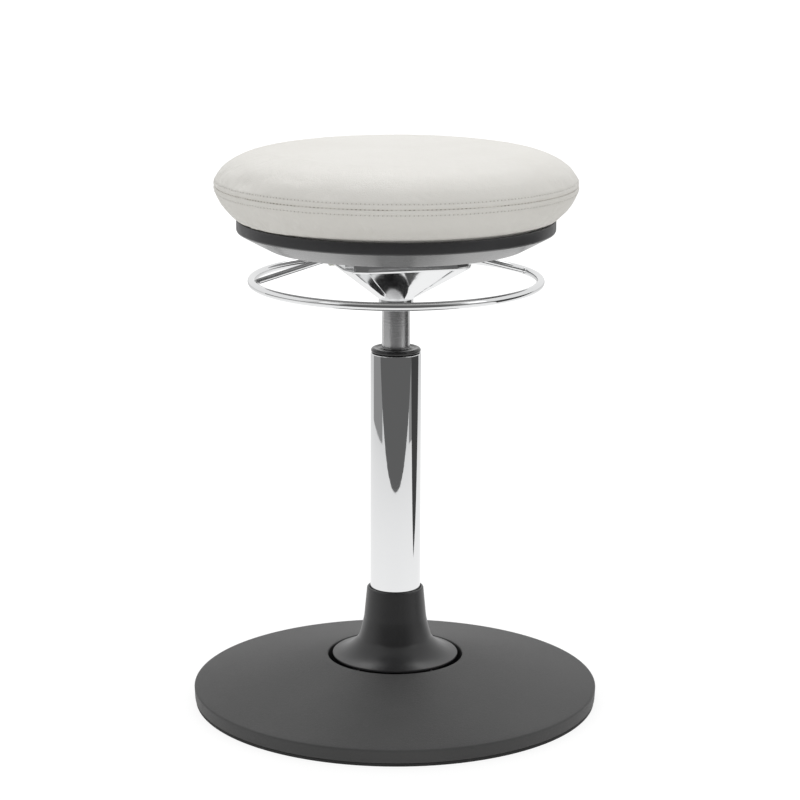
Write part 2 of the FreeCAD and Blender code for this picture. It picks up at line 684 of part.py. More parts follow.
def make_carrier():
    """Ball, neck and hub that carry the column tube, and the trumpet cover over them."""
    ball_top = root(z.ball_radius * z.ball_radius - z.neck_radius * z.neck_radius)
    hub_top = disc_top + z.hub_height
    grip = z.tube_radius + z.running_gap
    hub_radius = z.tube_radius + z.hub_wall
    recess_floor = disc_top - z.clip_recess_depth
    tube_foot = grip - z.tube_taper
    carrier = turned_piece("tilt_carrier", [
        (0, pivot - z.ball_radius),
        (z.neck_radius, pivot + ball_top, z.ball_radius, pivot),
        (z.neck_radius, disc_bottom),
        (z.disc_radius, disc_bottom),
        (z.disc_radius, disc_top),
        (hub_radius, disc_top),
        (hub_radius, hub_top),
        (grip, hub_top),
        (tube_foot, tube_bottom),
        (tube_foot - z.tube_wall, tube_bottom),
        (tube_foot - z.tube_wall, disc_top),
        (z.clip_recess_radius, disc_top),
        (z.clip_recess_radius, recess_floor),
        (0, recess_floor),
    ])
    drill(carrier, trumpet_screw_circle, 0, disc_top, z.disc_thickness,
          z.trumpet_screw_radius + z.part_gap, z.trumpet_screw_count)

    neck_top = rim_height + z.neck_top_rise
    neck_bore = z.tube_radius + z.part_gap
    top_radius = z.tube_radius + z.neck_top_wall
    rib_inner = trumpet_screw_circle - z.rib_width / 2
    rib_outer = trumpet_screw_circle + z.rib_width / 2
    shell_rise = (z.knee_rise - z.flare_rise) / (z.flare_radius - z.knee_radius)
    rib_outer_top = rim_height + z.flare_rise - z.trumpet_wall + shell_rise * (
        z.flare_radius - rib_outer) * 0.8
    rib_inner_top = rim_height + z.flare_rise - z.trumpet_wall + shell_rise * (
        z.flare_radius - rib_inner) * 0.8
    trumpet = turned_piece("trumpet_cover", [
        (rim_radius - z.trumpet_lip, rim_height - z.trumpet_wall),
        (rim_radius, rim_height - z.trumpet_wall + z.trumpet_lip),
        (rim_radius, rim_height),
        (z.knee_radius, rim_height + z.knee_rise, z.flare_radius, rim_height + z.flare_rise),
        (z.throat_radius, rim_height + z.throat_rise,
         z.bend_radius, rim_height + z.bend_rise),
        (top_radius, neck_top - z.trumpet_lip),
        (top_radius - z.trumpet_lip, neck_top),
        (neck_bore + z.trumpet_lip, neck_top),
        (neck_bore + z.trumpet_lip, neck_top - z.trumpet_lip),
        (neck_bore, neck_top - z.trumpet_lip),
        (neck_bore, neck_top - z.trumpet_lip - z.trumpet_wall),
        (top_radius - z.trumpet_wall, neck_top - z.trumpet_lip - z.trumpet_wall * 2),
        (z.throat_radius - z.trumpet_wall, rim_height + z.throat_rise),
        (rib_inner, rib_inner_top,
         z.bend_radius - z.trumpet_wall, rim_height + z.bend_rise),
        (rib_inner, disc_top),
        (rib_outer, disc_top),
        (rib_outer, rib_outer_top),
    ])
    drill(trumpet, trumpet_screw_circle, 0, disc_top + z.trumpet_screw_grip + z.part_gap,
          z.trumpet_screw_grip + z.part_gap, z.trumpet_screw_radius + z.running_gap,
          z.trumpet_screw_count)

    head_bottom = disc_bottom - z.trumpet_screw_head_height
    screw_top = disc_top + z.trumpet_screw_grip
    turned_group("trumpet_screws", [
        (trumpet_screw_circle, head_bottom),
        (trumpet_screw_circle + z.trumpet_screw_head, head_bottom),
        (trumpet_screw_circle + z.trumpet_screw_head, disc_bottom),
        (trumpet_screw_circle + z.trumpet_screw_radius, disc_bottom),
        (trumpet_screw_circle + z.trumpet_screw_radius, screw_top),
        (trumpet_screw_circle, screw_top),
    ], trumpet_screw_circle, z.trumpet_screw_count)


def make_column_tube():
    """Chromed column tube with its end plate, lower bearing washer and guide bush."""
    hub_top = disc_top + z.hub_height
    turned_piece("column_tube", [
        (z.tube_radius - z.tube_taper - z.tube_wall, tube_bottom),
        (z.tube_radius - z.tube_taper, tube_bottom),
        (z.tube_radius, hub_top),
        (z.tube_radius, tube_top - z.tube_edge),
        (z.tube_radius - z.tube_edge, tube_top),
        (tube_bore, tube_top),
        (tube_bore, hub_top),
    ])
    plate_radius = tube_bore - z.tube_taper - z.running_gap
    end_plate_top = tube_bottom + z.end_plate_thickness
    rod_hole = z.rod_radius + z.running_gap
    turned_piece("tube_end_plate", [
        (rod_hole, tube_bottom),
        (plate_radius, tube_bottom),
        (plate_radius, end_plate_top),
        (rod_hole, end_plate_top),
    ])
    turned_piece("lower_bearing_washer", [
        (rod_hole + z.part_gap, end_plate_top),
        (z.bearing_radius, end_plate_top),
        (z.bearing_radius, end_plate_top + z.bearing_washer),
        (rod_hole + z.part_gap, end_plate_top + z.bearing_washer),
    ])
    bush_radius = tube_bore - z.running_gap
    bush_bore = z.lift_tube_radius + z.running_gap
    bush_bottom = tube_top - z.bush_length
    flange_top = tube_top + z.bush_flange_height
    bead = z.bush_flange_radius - z.bush_flange_height / 2
    turned_piece("guide_bush", [
        (bush_bore, bush_bottom),
        (bush_radius, bush_bottom),
        (bush_radius, tube_top),
        (bead, tube_top),
        (bead, flange_top, z.bush_flange_radius, (tube_top + flange_top) / 2),
        (bead - z.tube_wall, flange_top - z.tube_edge),
        (bush_bore + z.tube_wall, flange_top + z.tube_edge),
        (bush_bore, flange_top),
    ])


def make_rod():
    """Piston rod with clip, thrust bearing, rubber stop, piston and piston ring."""
    end_plate_top = tube_bottom + z.end_plate_thickness
    balls_low = end_plate_top + z.bearing_washer + z.running_gap
    ball_middle = balls_low + z.bearing_ball_radius
    balls_high = ball_middle + z.bearing_ball_radius
    upper_washer_top = balls_high + z.running_gap + z.bearing_washer
    stop_top = upper_washer_top + z.stop_height
    seal_top = stop_top + z.part_gap + z.rod_guide_height + z.rod_seal_height
    piston_bottom = seal_top + z.lift_travel + z.piston_spare
    piston_top = piston_bottom + z.piston_height
    clip_bottom = tube_bottom - z.running_gap - z.clip_thickness
    rod_bottom = clip_bottom - z.clip_thickness
    turned_piece("piston_rod", [
        (0, rod_bottom),
        (z.rod_radius, rod_bottom),
        (z.rod_radius, piston_top),
        (0, piston_top),
    ])
    clip = new_body("rod_clip")
    revolve(clip, [
        (z.rod_radius, clip_bottom),
        (z.clip_radius, clip_bottom),
        (z.clip_radius, clip_bottom + z.clip_thickness),
        (z.rod_radius, clip_bottom + z.clip_thickness),
    ], angle=CLIP_TURN)
    turned_group("bearing_balls", [
        (z.bearing_ball_circle, balls_low),
        (z.bearing_ball_circle, balls_high,
         z.bearing_ball_circle + z.bearing_ball_radius, ball_middle),
    ], z.bearing_ball_circle, z.bearing_ball_count)
    cage_low = ball_middle - z.cage_thickness / 2
    cage_high = ball_middle + z.cage_thickness / 2
    cage_inner = z.rod_radius + z.part_gap
    cage = turned_piece("bearing_cage", [
        (cage_inner, cage_low),
        (z.bearing_radius, cage_low),
        (z.bearing_radius, cage_high),
        (cage_inner, cage_high),
    ])
    drill(cage, z.bearing_ball_circle, 0, cage_high, z.cage_thickness,
          z.bearing_ball_radius + z.running_gap, z.bearing_ball_count)
    turned_piece("upper_bearing_washer", [
        (z.rod_radius, balls_high + z.running_gap),
        (z.bearing_radius, balls_high + z.running_gap),
        (z.bearing_radius, upper_washer_top),
        (z.rod_radius, upper_washer_top),
    ])
    turned_piece("lift_stop", [
        (z.rod_radius, upper_washer_top),
        (z.stop_radius, upper_washer_top),
        (z.stop_radius, stop_top, z.stop_radius - z.part_gap, upper_washer_top + z.stop_height / 2),
        (z.rod_radius, stop_top),
    ])
    piston_radius = lift_tube_bore - z.running_gap
    groove_bottom = piston_bottom + (z.piston_height - z.piston_groove) / 2
    groove_top = groove_bottom + z.piston_groove
    groove_radius = piston_radius - z.piston_groove
    turned_piece("piston", [
        (z.rod_radius, piston_bottom),
        (piston_radius, piston_bottom),
        (piston_radius, groove_bottom),
        (groove_radius, groove_bottom),
        (groove_radius, groove_top),
        (piston_radius, groove_top),
        (piston_radius, piston_top),
        (z.rod_radius, piston_top),
    ])
    turned_piece("piston_ring", [
        (groove_radius, groove_bottom),
        (piston_radius, groove_bottom),
        (piston_radius, groove_top),
        (groove_radius, groove_top),
    ])
    return stop_top


def make_gas_tube(stop_top):
    """Inner gas tube with its rod guide, seal, valve body and release pin."""
    tube_low = stop_top + z.part_gap
    guide_top = tube_low + z.rod_guide_height
    seal_top = guide_top + z.rod_seal_height
    cone_start = hub_bottom - z.cone_exposed
    cone_end = cone_radius(lift_tube_top)
    turned_piece("gas_tube", [
        (lift_tube_bore, tube_low),
        (z.lift_tube_radius, tube_low),
        (z.lift_tube_radius, cone_start),
        (cone_end, lift_tube_top),
        (cone_end - z.lift_tube_wall, lift_tube_top),
        (lift_tube_bore, cone_start),
    ])
    guide_radius = lift_tube_bore - z.running_gap
    rod_hole = z.rod_radius + z.running_gap
    for label, low, high in (("rod_guide", tube_low, guide_top),
                             ("rod_seal", guide_top, seal_top)):
        turned_piece(label, [
            (rod_hole, low),
            (guide_radius, low),
            (guide_radius, high),
            (rod_hole, high),
        ])
    valve_top = lift_tube_top - z.valve_recess
    valve_bottom = valve_top - z.valve_height
    valve_radius = cone_end - z.lift_tube_wall - z.running_gap
    stem_bore = z.pin_radius + z.running_gap
    stem_bottom = valve_top - z.pin_stem
    bore_bottom = stem_bottom - z.pin_travel_room
    turned_piece("valve_body", [
        (0, valve_bottom),
        (valve_radius, valve_bottom),
        (valve_radius, valve_top),
        (stem_bore, valve_top),
        (stem_bore, bore_bottom),
        (0, bore_bottom),
    ])
    head_bottom = valve_top + z.pin_travel_room
    pin_top = lever_height - z.spoke_radius - z.pin_rest_gap
    bevel_low = pin_top - (pin_top - head_bottom) / 4
    turned_piece("release_pin", [
        (0, stem_bottom),
        (z.pin_radius, stem_bottom),
        (z.pin_radius, head_bottom),
        (z.pin_head_radius, head_bottom),
        (z.pin_head_radius, bevel_low),
        (z.pin_head_radius / 4, pin_top),
        (0, pin_top),
    ])


def make_bracket():
    """Cast bracket: a round hub that opens into four ribs and a square lip."""
    bracket = new_body("seat_bracket", z.bracket_angle)
    hub = z.bracket_hub_radius
    ring = four_ribs(hub * HUB_NEAR, hub * HUB_FAR, hub * HALF_DIAGONAL, hub)
    straight_top = hub_bottom + z.bracket_hub_straight
    half = z.bracket_reach * HALF_DIAGONAL + z.bracket_rounding * (1 - HALF_DIAGONAL)
    rib = z.bracket_reach * HALF_DIAGONAL
    lip = four_ribs(half - z.bracket_rounding, half, rib, half - z.bracket_lip_step / 2)
    sections = []
    for height, outline in ((hub_bottom, ring), (straight_top, ring), (lip_height, lip)):
        sketch = new_sketch(bracket, "XY_Plane", height)
        draw_outline(sketch, outline)
        sections.append(sketch)
    loft = bracket.newObject("PartDesign::AdditiveLoft", "seat_bracket_loft")
    loft.Profile = sections[0]
    loft.Sections = sections[1:]
    loft.Ruled = True
    doc.recompute()
    lip_sketch = new_sketch(bracket, "XY_Plane", lip_height)
    draw_outline(lip_sketch, lip)
    pad(bracket, lip_sketch, z.bracket_lip)
    wall_half = half - z.bracket_lip_step
    wall_sketch = new_sketch(bracket, "XY_Plane", lip_height + z.bracket_lip)
    draw_outline(wall_sketch, rounded_square(wall_half, z.bracket_rounding))
    pad(bracket, wall_sketch, z.bracket_wall_height)
    doc.recompute()

    hollow_sketch = new_sketch(bracket, "XZ_Plane")
    draw_outline(hollow_sketch, [
        (0, hub_bottom),
        (cone_radius(hub_bottom) + z.running_gap, hub_bottom),
        (cone_radius(cavity_floor) + z.running_gap, cavity_floor),
        (z.cavity_floor_radius, cavity_floor),
        (z.cavity_mouth_radius, bracket_top),
        (0, bracket_top),
    ])
    before = bracket.Shape.Volume
    hollow = bracket.newObject("PartDesign::Groove", "seat_bracket_hollow")
    hollow.Profile = hollow_sketch
    hollow.ReferenceAxis = (hollow_sketch, ["V_Axis"])
    hollow.Angle = FULL_TURN
    doc.recompute()
    if bracket.Shape.Volume >= before:
        raise RuntimeError("the bracket's hollow removed nothing")

    drill(bracket, bolt_diagonal, bolt_diagonal, bracket_top, z.bracket_reach / 2,
          z.seat_bolt_radius + z.part_gap, z.seat_bolt_count)
    drill(bracket, bolt_diagonal, bolt_diagonal, bolt_seat, z.bracket_reach / 2,
          z.seat_bolt_head_radius + z.part_gap, z.seat_bolt_count)

    slot_half = z.block_half_width + z.block_gap
    slot_sketch = new_sketch(bracket, "YZ_Plane", -z.bracket_reach)
    draw_outline(slot_sketch, [
        (z.lever_offset + slot_half, bracket_top),
        (z.lever_offset - slot_half, bracket_top),
        (z.lever_offset - slot_half, lever_height),
        (z.lever_offset + slot_half, lever_height, z.lever_offset, lever_height - slot_half),
    ])
    before = bracket.Shape.Volume
    slot = bracket.newObject("PartDesign::Pocket", "seat_bracket_slots")
    slot.Profile = slot_sketch
    slot.Reversed = True
    slot.setExpression("Length", (z.bracket_reach * 2).formula)
    doc.recompute()
    if bracket.Shape.Volume >= before:
        raise RuntimeError("the bracket's slots removed nothing")


def make_lever():
    """Release ring with its cross rod, the pivot blocks that carry it and the paddle."""
    ring = new_body("release_ring", z.bracket_angle)
    wire = new_sketch(ring, "XZ_Plane")
    draw_circle(wire, z.ring_radius, ring_height, z.ring_wire_radius)
    hoop = ring.newObject("PartDesign::Revolution", "release_ring_hoop")
    hoop.Profile = wire
    hoop.ReferenceAxis = (wire, ["V_Axis"])
    hoop.Angle = FULL_TURN
    doc.recompute()
    route = new_sketch(ring, "XZ_Plane", -z.lever_offset)
    draw_spoke_route(route)
    section = new_sketch(ring, "YZ_Plane")
    draw_circle(section, z.lever_offset, lever_height, z.spoke_radius)
    spoke = ring.newObject("PartDesign::AdditivePipe", "release_ring_spoke")
    spoke.Profile = section
    spoke.Spine = route
    doc.recompute()
    mirrored = ring.newObject("PartDesign::Mirrored", "release_ring_other_spoke")
    mirrored.Originals = [spoke]
    mirrored.MirrorPlane = (origin_feature(ring, "YZ_Plane"), [""])
    ring.Tip = mirrored
    doc.recompute()

    rod_hole = z.spoke_radius + z.running_gap
    blocks = new_body("pivot_blocks", z.bracket_angle, loose_pieces=True)
    block_sketch = new_sketch(blocks, "YZ_Plane", z.cavity_mouth_radius)
    draw_outline(block_sketch, [
        (z.lever_offset + z.block_half_width, bracket_top),
        (z.lever_offset - z.block_half_width, bracket_top),
        (z.lever_offset - z.block_half_width, lever_height),
        (z.lever_offset + z.block_half_width, lever_height,
         z.lever_offset, lever_height - z.block_half_width),
    ])
    draw_circle(block_sketch, z.lever_offset, lever_height, rod_hole)
    block = pad(blocks, block_sketch, z.block_length)
    doc.recompute()
    pair = blocks.newObject("PartDesign::Mirrored", "pivot_blocks_pair")
    pair.Originals = [block]
    pair.MirrorPlane = (origin_feature(blocks, "YZ_Plane"), [""])
    blocks.Tip = pair

    paddle = new_body("release_paddle", z.bracket_angle)
    paddle_sketch = new_sketch(paddle, "YZ_Plane", -z.paddle_half_width)
    draw_outline(paddle_sketch, [
        (-z.paddle_overhang, lever_height - z.spoke_radius),
        (z.lever_offset + z.paddle_overhang, lever_height - z.spoke_radius),
        (z.lever_offset + z.paddle_overhang, lever_height + z.spoke_radius * 1.6),
        (z.lever_offset - z.paddle_overhang, lever_height + z.spoke_radius * 1.6),
        (-z.paddle_overhang, lever_height + z.spoke_radius / 3),
    ])
    pad(paddle, paddle_sketch, z.paddle_half_width * 2)
    doc.recompute()
    before = paddle.Shape.Volume
    bore_sketch = new_sketch(paddle, "YZ_Plane", -z.paddle_half_width)
    draw_circle(bore_sketch, z.lever_offset, lever_height, rod_hole)
    bore = paddle.newObject("PartDesign::Pocket", "release_paddle_bore")
    bore.Profile = bore_sketch
    bore.Reversed = True
    bore.setExpression("Length", (z.paddle_half_width * 2).formula)
    doc.recompute()
    if paddle.Shape.Volume >= before:
        raise RuntimeError("the paddle's bore removed nothing")


def draw_spoke_route(sketch):
    """Half of the cross rod, a tangent bend and the spoke down to the ring's wire."""
    spoke_end = root(z.ring_radius * z.ring_radius - z.lever_offset * z.lever_offset)
    bend = z.spoke_bend_radius.number
    run = spoke_end.number - z.lever_half_length.number
    drop = z.ring_drop.number
    # The spoke touches the bend's circle, whose centre lies straight under the rod's end.
    reach = math.hypot(run, bend - drop)
    turn = math.atan2(drop - bend, run) + math.asin(bend / reach)
    rod_end = Vector(z.lever_half_length.number, lever_height.number, 0)
    centre = rod_end - Vector(0, bend, 0)
    bend_middle = centre + Vector(math.sin(turn / 2), math.cos(turn / 2), 0) * bend
    bend_end = centre + Vector(math.sin(turn), math.cos(turn), 0) * bend
    tip = Vector(spoke_end.number, ring_height.number, 0)
    rod = sketch.addGeometry(Part.LineSegment(Vector(0, lever_height.number, 0), rod_end), False)
    arc = sketch.addGeometry(Part.Arc(bend_end, bend_middle, rod_end), False)
    spoke = sketch.addGeometry(Part.LineSegment(bend_end, tip), False)
    sketch.addConstraint(Sketcher.Constraint("Tangent", rod, 2, arc, 2))
    sketch.addConstraint(Sketcher.Constraint("Tangent", spoke, 1, arc, 1))
    pin_point(sketch, rod, 1, 0, lever_height)
    pin_point(sketch, rod, 2, z.lever_half_length, lever_height)
    pin_point(sketch, spoke, 2, spoke_end, ring_height)
    bind(sketch, Sketcher.Constraint("Radius", arc, bend), z.spoke_bend_radius)


def make_seat_frame():
    """Steel plate, pan, rim band, board, spacers and the bolts that clamp them."""
    half = z.bracket_reach * HALF_DIAGONAL + z.bracket_rounding * (1 - HALF_DIAGONAL)
    hole = z.seat_bolt_radius + z.part_gap
    plate = new_body("counter_plate", z.bracket_angle)
    plate_sketch = new_sketch(plate, "XY_Plane", bracket_top)
    plate_half = half - z.bracket_lip_step - z.counter_plate_inset
    draw_outline(plate_sketch, rounded_square(plate_half, z.bracket_rounding))
    draw_circle(plate_sketch, 0, 0, z.counter_plate_bore)
    pad(plate, plate_sketch, z.counter_plate_thickness)
    drill(plate, bolt_diagonal, bolt_diagonal, pan_bottom, z.counter_plate_thickness, hole,
          z.seat_bolt_count)

    rim_inner = z.pan_radius - z.pan_rim_width
    knee = pan_bottom + z.pan_knee_rise
    inside_floor = pan_bottom + z.pan_thickness
    rise_per_width = (z.pan_side_rise - z.pan_knee_rise) / (pan_side_radius - pan_knee_radius)
    wall_top = knee + rise_per_width * (rim_inner - pan_knee_radius) + z.pan_thickness * 1.2
    pan = turned_piece("seat_pan", [
        (z.pan_bore, pan_bottom),
        (pan_flat_radius, pan_bottom),
        (pan_knee_radius, knee),
        (z.pan_radius, pan_rim - z.pan_rim_edge, pan_side_radius,
         pan_bottom + z.pan_side_rise),
        (z.pan_radius, pan_rim),
        (rim_inner, pan_rim),
        (rim_inner, wall_top),
        (pan_knee_radius - z.pan_thickness / 2, knee + z.pan_thickness),
        (pan_flat_radius - z.pan_thickness / 2, inside_floor),
        (z.pan_bore, inside_floor),
    ], z.bracket_angle)
    drill(pan, bolt_diagonal, bolt_diagonal, inside_floor, z.pan_thickness, hole,
          z.seat_bolt_count)

    turned_piece("rim_band", [
        (band_bore - z.band_foot_width, pan_rim),
        (band_radius - z.band_round, pan_rim),
        (band_radius, pan_rim + z.band_round),
        (band_radius, pan_rim + z.band_height - z.band_round),
        (band_radius - z.band_round, pan_rim + z.band_height),
        (band_bore + z.band_round, pan_rim + z.band_height),
        (band_bore, pan_rim + z.band_height - z.band_round),
        (band_bore, foot_top),
        (band_bore - z.band_foot_width, foot_top),
    ])

    board = turned_piece("seat_board", [
        (0, board_bottom),
        (board_radius, board_bottom),
        (board_radius, board_top),
        (0, board_top),
    ], z.bracket_angle)
    drill(board, bolt_diagonal, bolt_diagonal, board_top, z.board_thickness,
          tee_barrel_radius + z.running_gap, z.seat_bolt_count)
    drill(board, bolt_diagonal, bolt_diagonal, board_top, z.tee_flange,
          z.tee_flange_radius + z.running_gap, z.seat_bolt_count)

    bolt_turn = z.bracket_angle + EIGHTH_TURN
    at = z.seat_bolt_circle
    bolt_bore = z.seat_bolt_radius + z.running_gap
    turned_group("spacer_tubes", [
        (at + hole, inside_floor),
        (at + hole + z.spacer_wall, inside_floor),
        (at + hole + z.spacer_wall, board_bottom),
        (at + hole, board_bottom),
    ], at, z.seat_bolt_count, bolt_turn)
    turned_group("tee_nuts", [
        (at + bolt_bore, board_bottom),
        (at + tee_barrel_radius, board_bottom),
        (at + tee_barrel_radius, board_top - z.tee_flange),
        (at + z.tee_flange_radius, board_top - z.tee_flange),
        (at + z.tee_flange_radius, board_top),
        (at + bolt_bore, board_top),
    ], at, z.seat_bolt_count, bolt_turn)
    bolt_top = board_top - z.tee_flange
    turned_group("seat_bolts", [
        (at, bolt_seat - z.seat_bolt_head_height),
        (at + z.seat_bolt_head_radius, bolt_seat - z.seat_bolt_head_height),
        (at + z.seat_bolt_head_radius, bolt_seat),
        (at + z.seat_bolt_radius, bolt_seat),
        (at + z.seat_bolt_radius, bolt_top),
        (at, bolt_top),
    ], at, z.seat_bolt_count, bolt_turn)


def cushion_point(radius, rise, out=0, up=0, depth=0):
    """Point of the cushion's outline, moved inwards by a depth along its outward direction."""
    return (radius - depth * out, pan_rim + rise - depth * up)


def upper_outline(depth):
    """Corners of the cushion's upper side from the seam to the middle of the crown."""
    seam = cushion_point(seam_radius, z.seam_rise + z.seam_gap / 2, 1, 0, depth)
    cheek = cushion_point(seam_radius - z.cheek_inset, z.cheek_rise, 0.85, 0.53, depth)
    brow = cushion_point(seam_radius - z.brow_inset, z.brow_rise, 0.6, 0.8, depth)
    slope = cushion_point(seam_radius - z.slope_inset, z.slope_rise, 0.25, 0.97, depth)
    shoulder_radius = seam_radius - z.shoulder_inset
    shoulder = cushion_point(shoulder_radius, z.shoulder_rise, 0.03, 1, depth)
    middle_rise = z.crown_rise - (z.crown_rise - z.shoulder_rise) / 4
    middle = cushion_point(shoulder_radius / 2, middle_rise, 0, 1, depth)
    crown = (0, pan_rim + z.crown_rise - depth)
    return seam, cheek, brow, slope, shoulder, middle, crown


def lower_outline(depth):
    """Corners of the cushion's lower side from the seam to its foot."""
    seam = cushion_point(seam_radius, z.seam_rise - z.seam_gap / 2, 1, 0, depth)
    belly = cushion_point(seam_radius - z.belly_inset, z.belly_rise, 0.85, -0.53, depth)
    foot = cushion_point(cushion_foot_radius, z.cushion_foot_rise, 0.6, -0.8, depth)
    return seam, belly, foot


def make_cushion():
    """Crowned foam disc and its cover, a top panel and a side panel that meet at the seam."""
    seam, cheek, brow, slope, shoulder, middle, crown = upper_outline(0)
    seam_in, cheek_in, brow_in, slope_in, shoulder_in, middle_in, crown_in = upper_outline(
        z.leather)
    turned_piece("cover_top", [
        seam,
        brow + cheek,
        shoulder + slope,
        middle,
        crown,
        crown_in,
        middle_in,
        shoulder_in,
        brow_in + slope_in,
        seam_in + cheek_in,
    ])

    seam, belly, foot = lower_outline(0)
    seam_in, belly_in, foot_in = lower_outline(z.leather)
    tuck_end = board_radius - z.cover_tuck
    tuck_turn = pan_rim + z.band_height
    turned_piece("cover_side", [
        (tuck_end, foot_top),
        (tuck_radius, foot_top),
        (tuck_radius, tuck_turn),
        foot,
        seam + belly,
        seam_in,
        foot_in + belly_in,
        (tuck_radius - z.leather, tuck_turn + z.leather),
        (tuck_radius - z.leather, foot_top + z.leather),
        (tuck_end, foot_top + z.leather),
    ])

    depth = z.leather + z.foam_gap
    seam, cheek, brow, slope, shoulder, middle, crown = upper_outline(depth)
    low_seam, belly, foot = lower_outline(depth)
    turned_piece("foam_core", [
        (0, board_top),
        (board_radius, board_top),
        foot,
        low_seam + belly,
        seam,
        brow + cheek,
        shoulder + slope,
        middle,
        crown,
    ])


def finish():
    """Check every object and write each piece to its own file."""
    doc.recompute()
    for item in doc.Objects:
        if "Invalid" in item.State or "Error" in item.State:
            raise RuntimeError(f"{item.Label} failed: {item.State}")
    for piece in parts:
        shape = piece.Shape
        if shape.isNull() or not shape.isValid() or not shape.Solids:
            raise RuntimeError(f"{piece.Label} has no valid solid")
        shape.exportStep(f"parts/{piece.Label}.step")
        box = shape.BoundBox
        print(f"{piece.Label:22s} solids {len(shape.Solids):3d} volume {shape.Volume:12.1f} "
              f"z {box.ZMin:8.2f} {box.ZMax:8.2f}")


make_base()
make_socket()
make_liner()
make_carrier()
make_column_tube()
lift_stop_top = make_rod()
make_gas_tube(lift_stop_top)
make_bracket()
make_lever()
make_seat_frame()
make_cushion()
finish()
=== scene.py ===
"""Wobble stool: looks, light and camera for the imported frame."""

import json
import math

import bmesh
import bpy
import numpy as np
from mathutils import Matrix, Vector, noise


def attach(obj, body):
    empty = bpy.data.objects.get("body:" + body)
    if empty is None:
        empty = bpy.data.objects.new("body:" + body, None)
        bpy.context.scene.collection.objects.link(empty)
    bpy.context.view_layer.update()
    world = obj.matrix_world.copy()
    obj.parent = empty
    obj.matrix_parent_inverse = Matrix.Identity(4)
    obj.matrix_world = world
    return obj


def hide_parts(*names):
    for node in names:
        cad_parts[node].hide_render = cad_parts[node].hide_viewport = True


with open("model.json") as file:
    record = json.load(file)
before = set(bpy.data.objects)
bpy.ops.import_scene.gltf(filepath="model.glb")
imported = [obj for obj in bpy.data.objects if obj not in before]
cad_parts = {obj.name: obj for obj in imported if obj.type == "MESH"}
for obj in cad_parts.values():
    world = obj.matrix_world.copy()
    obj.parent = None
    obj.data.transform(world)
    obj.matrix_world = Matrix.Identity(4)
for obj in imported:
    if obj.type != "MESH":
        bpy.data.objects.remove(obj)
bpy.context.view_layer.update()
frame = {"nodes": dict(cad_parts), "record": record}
nodes = frame["nodes"]

MM = 0.001
TAU = 2 * math.pi
FINE_TURN = 256

# How far the bracket and the lever are turned about the column.
BRACKET_TURN = math.radians(15.2)

# Heights and radii of the dressed pieces, in millimetres.
TUBE_TOP = 356.9
TUBE_RADIUS = 25.1
HUB_BOTTOM = 405.0
BRACKET_LIP = 447.2
BRACKET_TOP = 456.4
PAN_BOTTOM = 460.2
PAN_RIM = 480.0
BAND_TOP = 490.8
RING_RADIUS = 141.6
RING_WIRE = 4.0
RING_HEIGHT = 429.0
LEVER_HEIGHT = 449.0
LEVER_OFFSET = 15.0
LEVER_HALF = 66.0
LEVER_WIRE = 3.0
SPOKE_BEND = 30.0
SEAM_RADIUS = 177.2
SEAM_HEIGHT = 524.4
BOLT_CIRCLE = 73.0
SLOT_HALF = 5.6
WELD_RADIUS = 4.1

# Stitches round the seam, and how far each row of thread lies from it in millimetres.
STITCHES = 272
ROW_GAP = 5.2
THREAD_RADIUS = 0.46
STITCH_HALF = 1.35

# The cover settles for this many frames, on foam that stops short of it in millimetres.
SETTLE_FRAMES = 24
FOAM_GAP = 0.9


# Helpers for meshes.


def fillet(corners, steps=4):
    """Outline with each corner (radius, height, rounding) replaced by a small curve."""
    line = []
    count = len(corners)
    for i, corner in enumerate(corners):
        here = Vector(corner[:2])
        rounding = corner[2] if len(corner) > 2 else 0.0
        if rounding <= 0:
            line.append(here)
            continue
        before = Vector(corners[i - 1][:2]) - here
        after = Vector(corners[(i + 1) % count][:2]) - here
        reach = min(rounding, before.length * 0.45, after.length * 0.45)
        start = here + before.normalized() * reach
        end = here + after.normalized() * reach
        for k in range(steps + 1):
            t = k / steps
            line.append(start * (1 - t) ** 2 + here * 2 * t * (1 - t) + end * t ** 2)
    return line


def arc(start, middle, end, steps):
    """Points on the circle through three points, from start to end, without the ends."""
    a, b, c = Vector(start), Vector(middle), Vector(end)
    d = 2 * (a.x * (b.y - c.y) + b.x * (c.y - a.y) + c.x * (a.y - b.y))
    aa, bb, cc = a.length_squared, b.length_squared, c.length_squared
    centre = Vector((
        (aa * (b.y - c.y) + bb * (c.y - a.y) + cc * (a.y - b.y)) / d,
        (aa * (c.x - b.x) + bb * (a.x - c.x) + cc * (b.x - a.x)) / d,
    ))
    first = math.atan2(a.y - centre.y, a.x - centre.x)
    turn = (b - a).cross(c - b)
    last = math.atan2(c.y - centre.y, c.x - centre.x)
    sweep = (last - first) % TAU
    if turn < 0:
        sweep -= TAU
    radius = (a - centre).length
    return [
        (centre.x + radius * math.cos(first + sweep * k / steps),
         centre.y + radius * math.sin(first + sweep * k / steps))
        for k in range(1, steps)
    ]


def new_piece(name, mesh, material, sharp=35.0):
    """Object in the scene with smooth shading and sharp edges kept."""
    piece = bpy.data.objects.new(name, mesh)
    bpy.context.scene.collection.objects.link(piece)
    mesh.materials.append(material)
    mesh.shade_smooth()
    mesh.set_sharp_from_angle(angle=math.radians(sharp))
    return piece


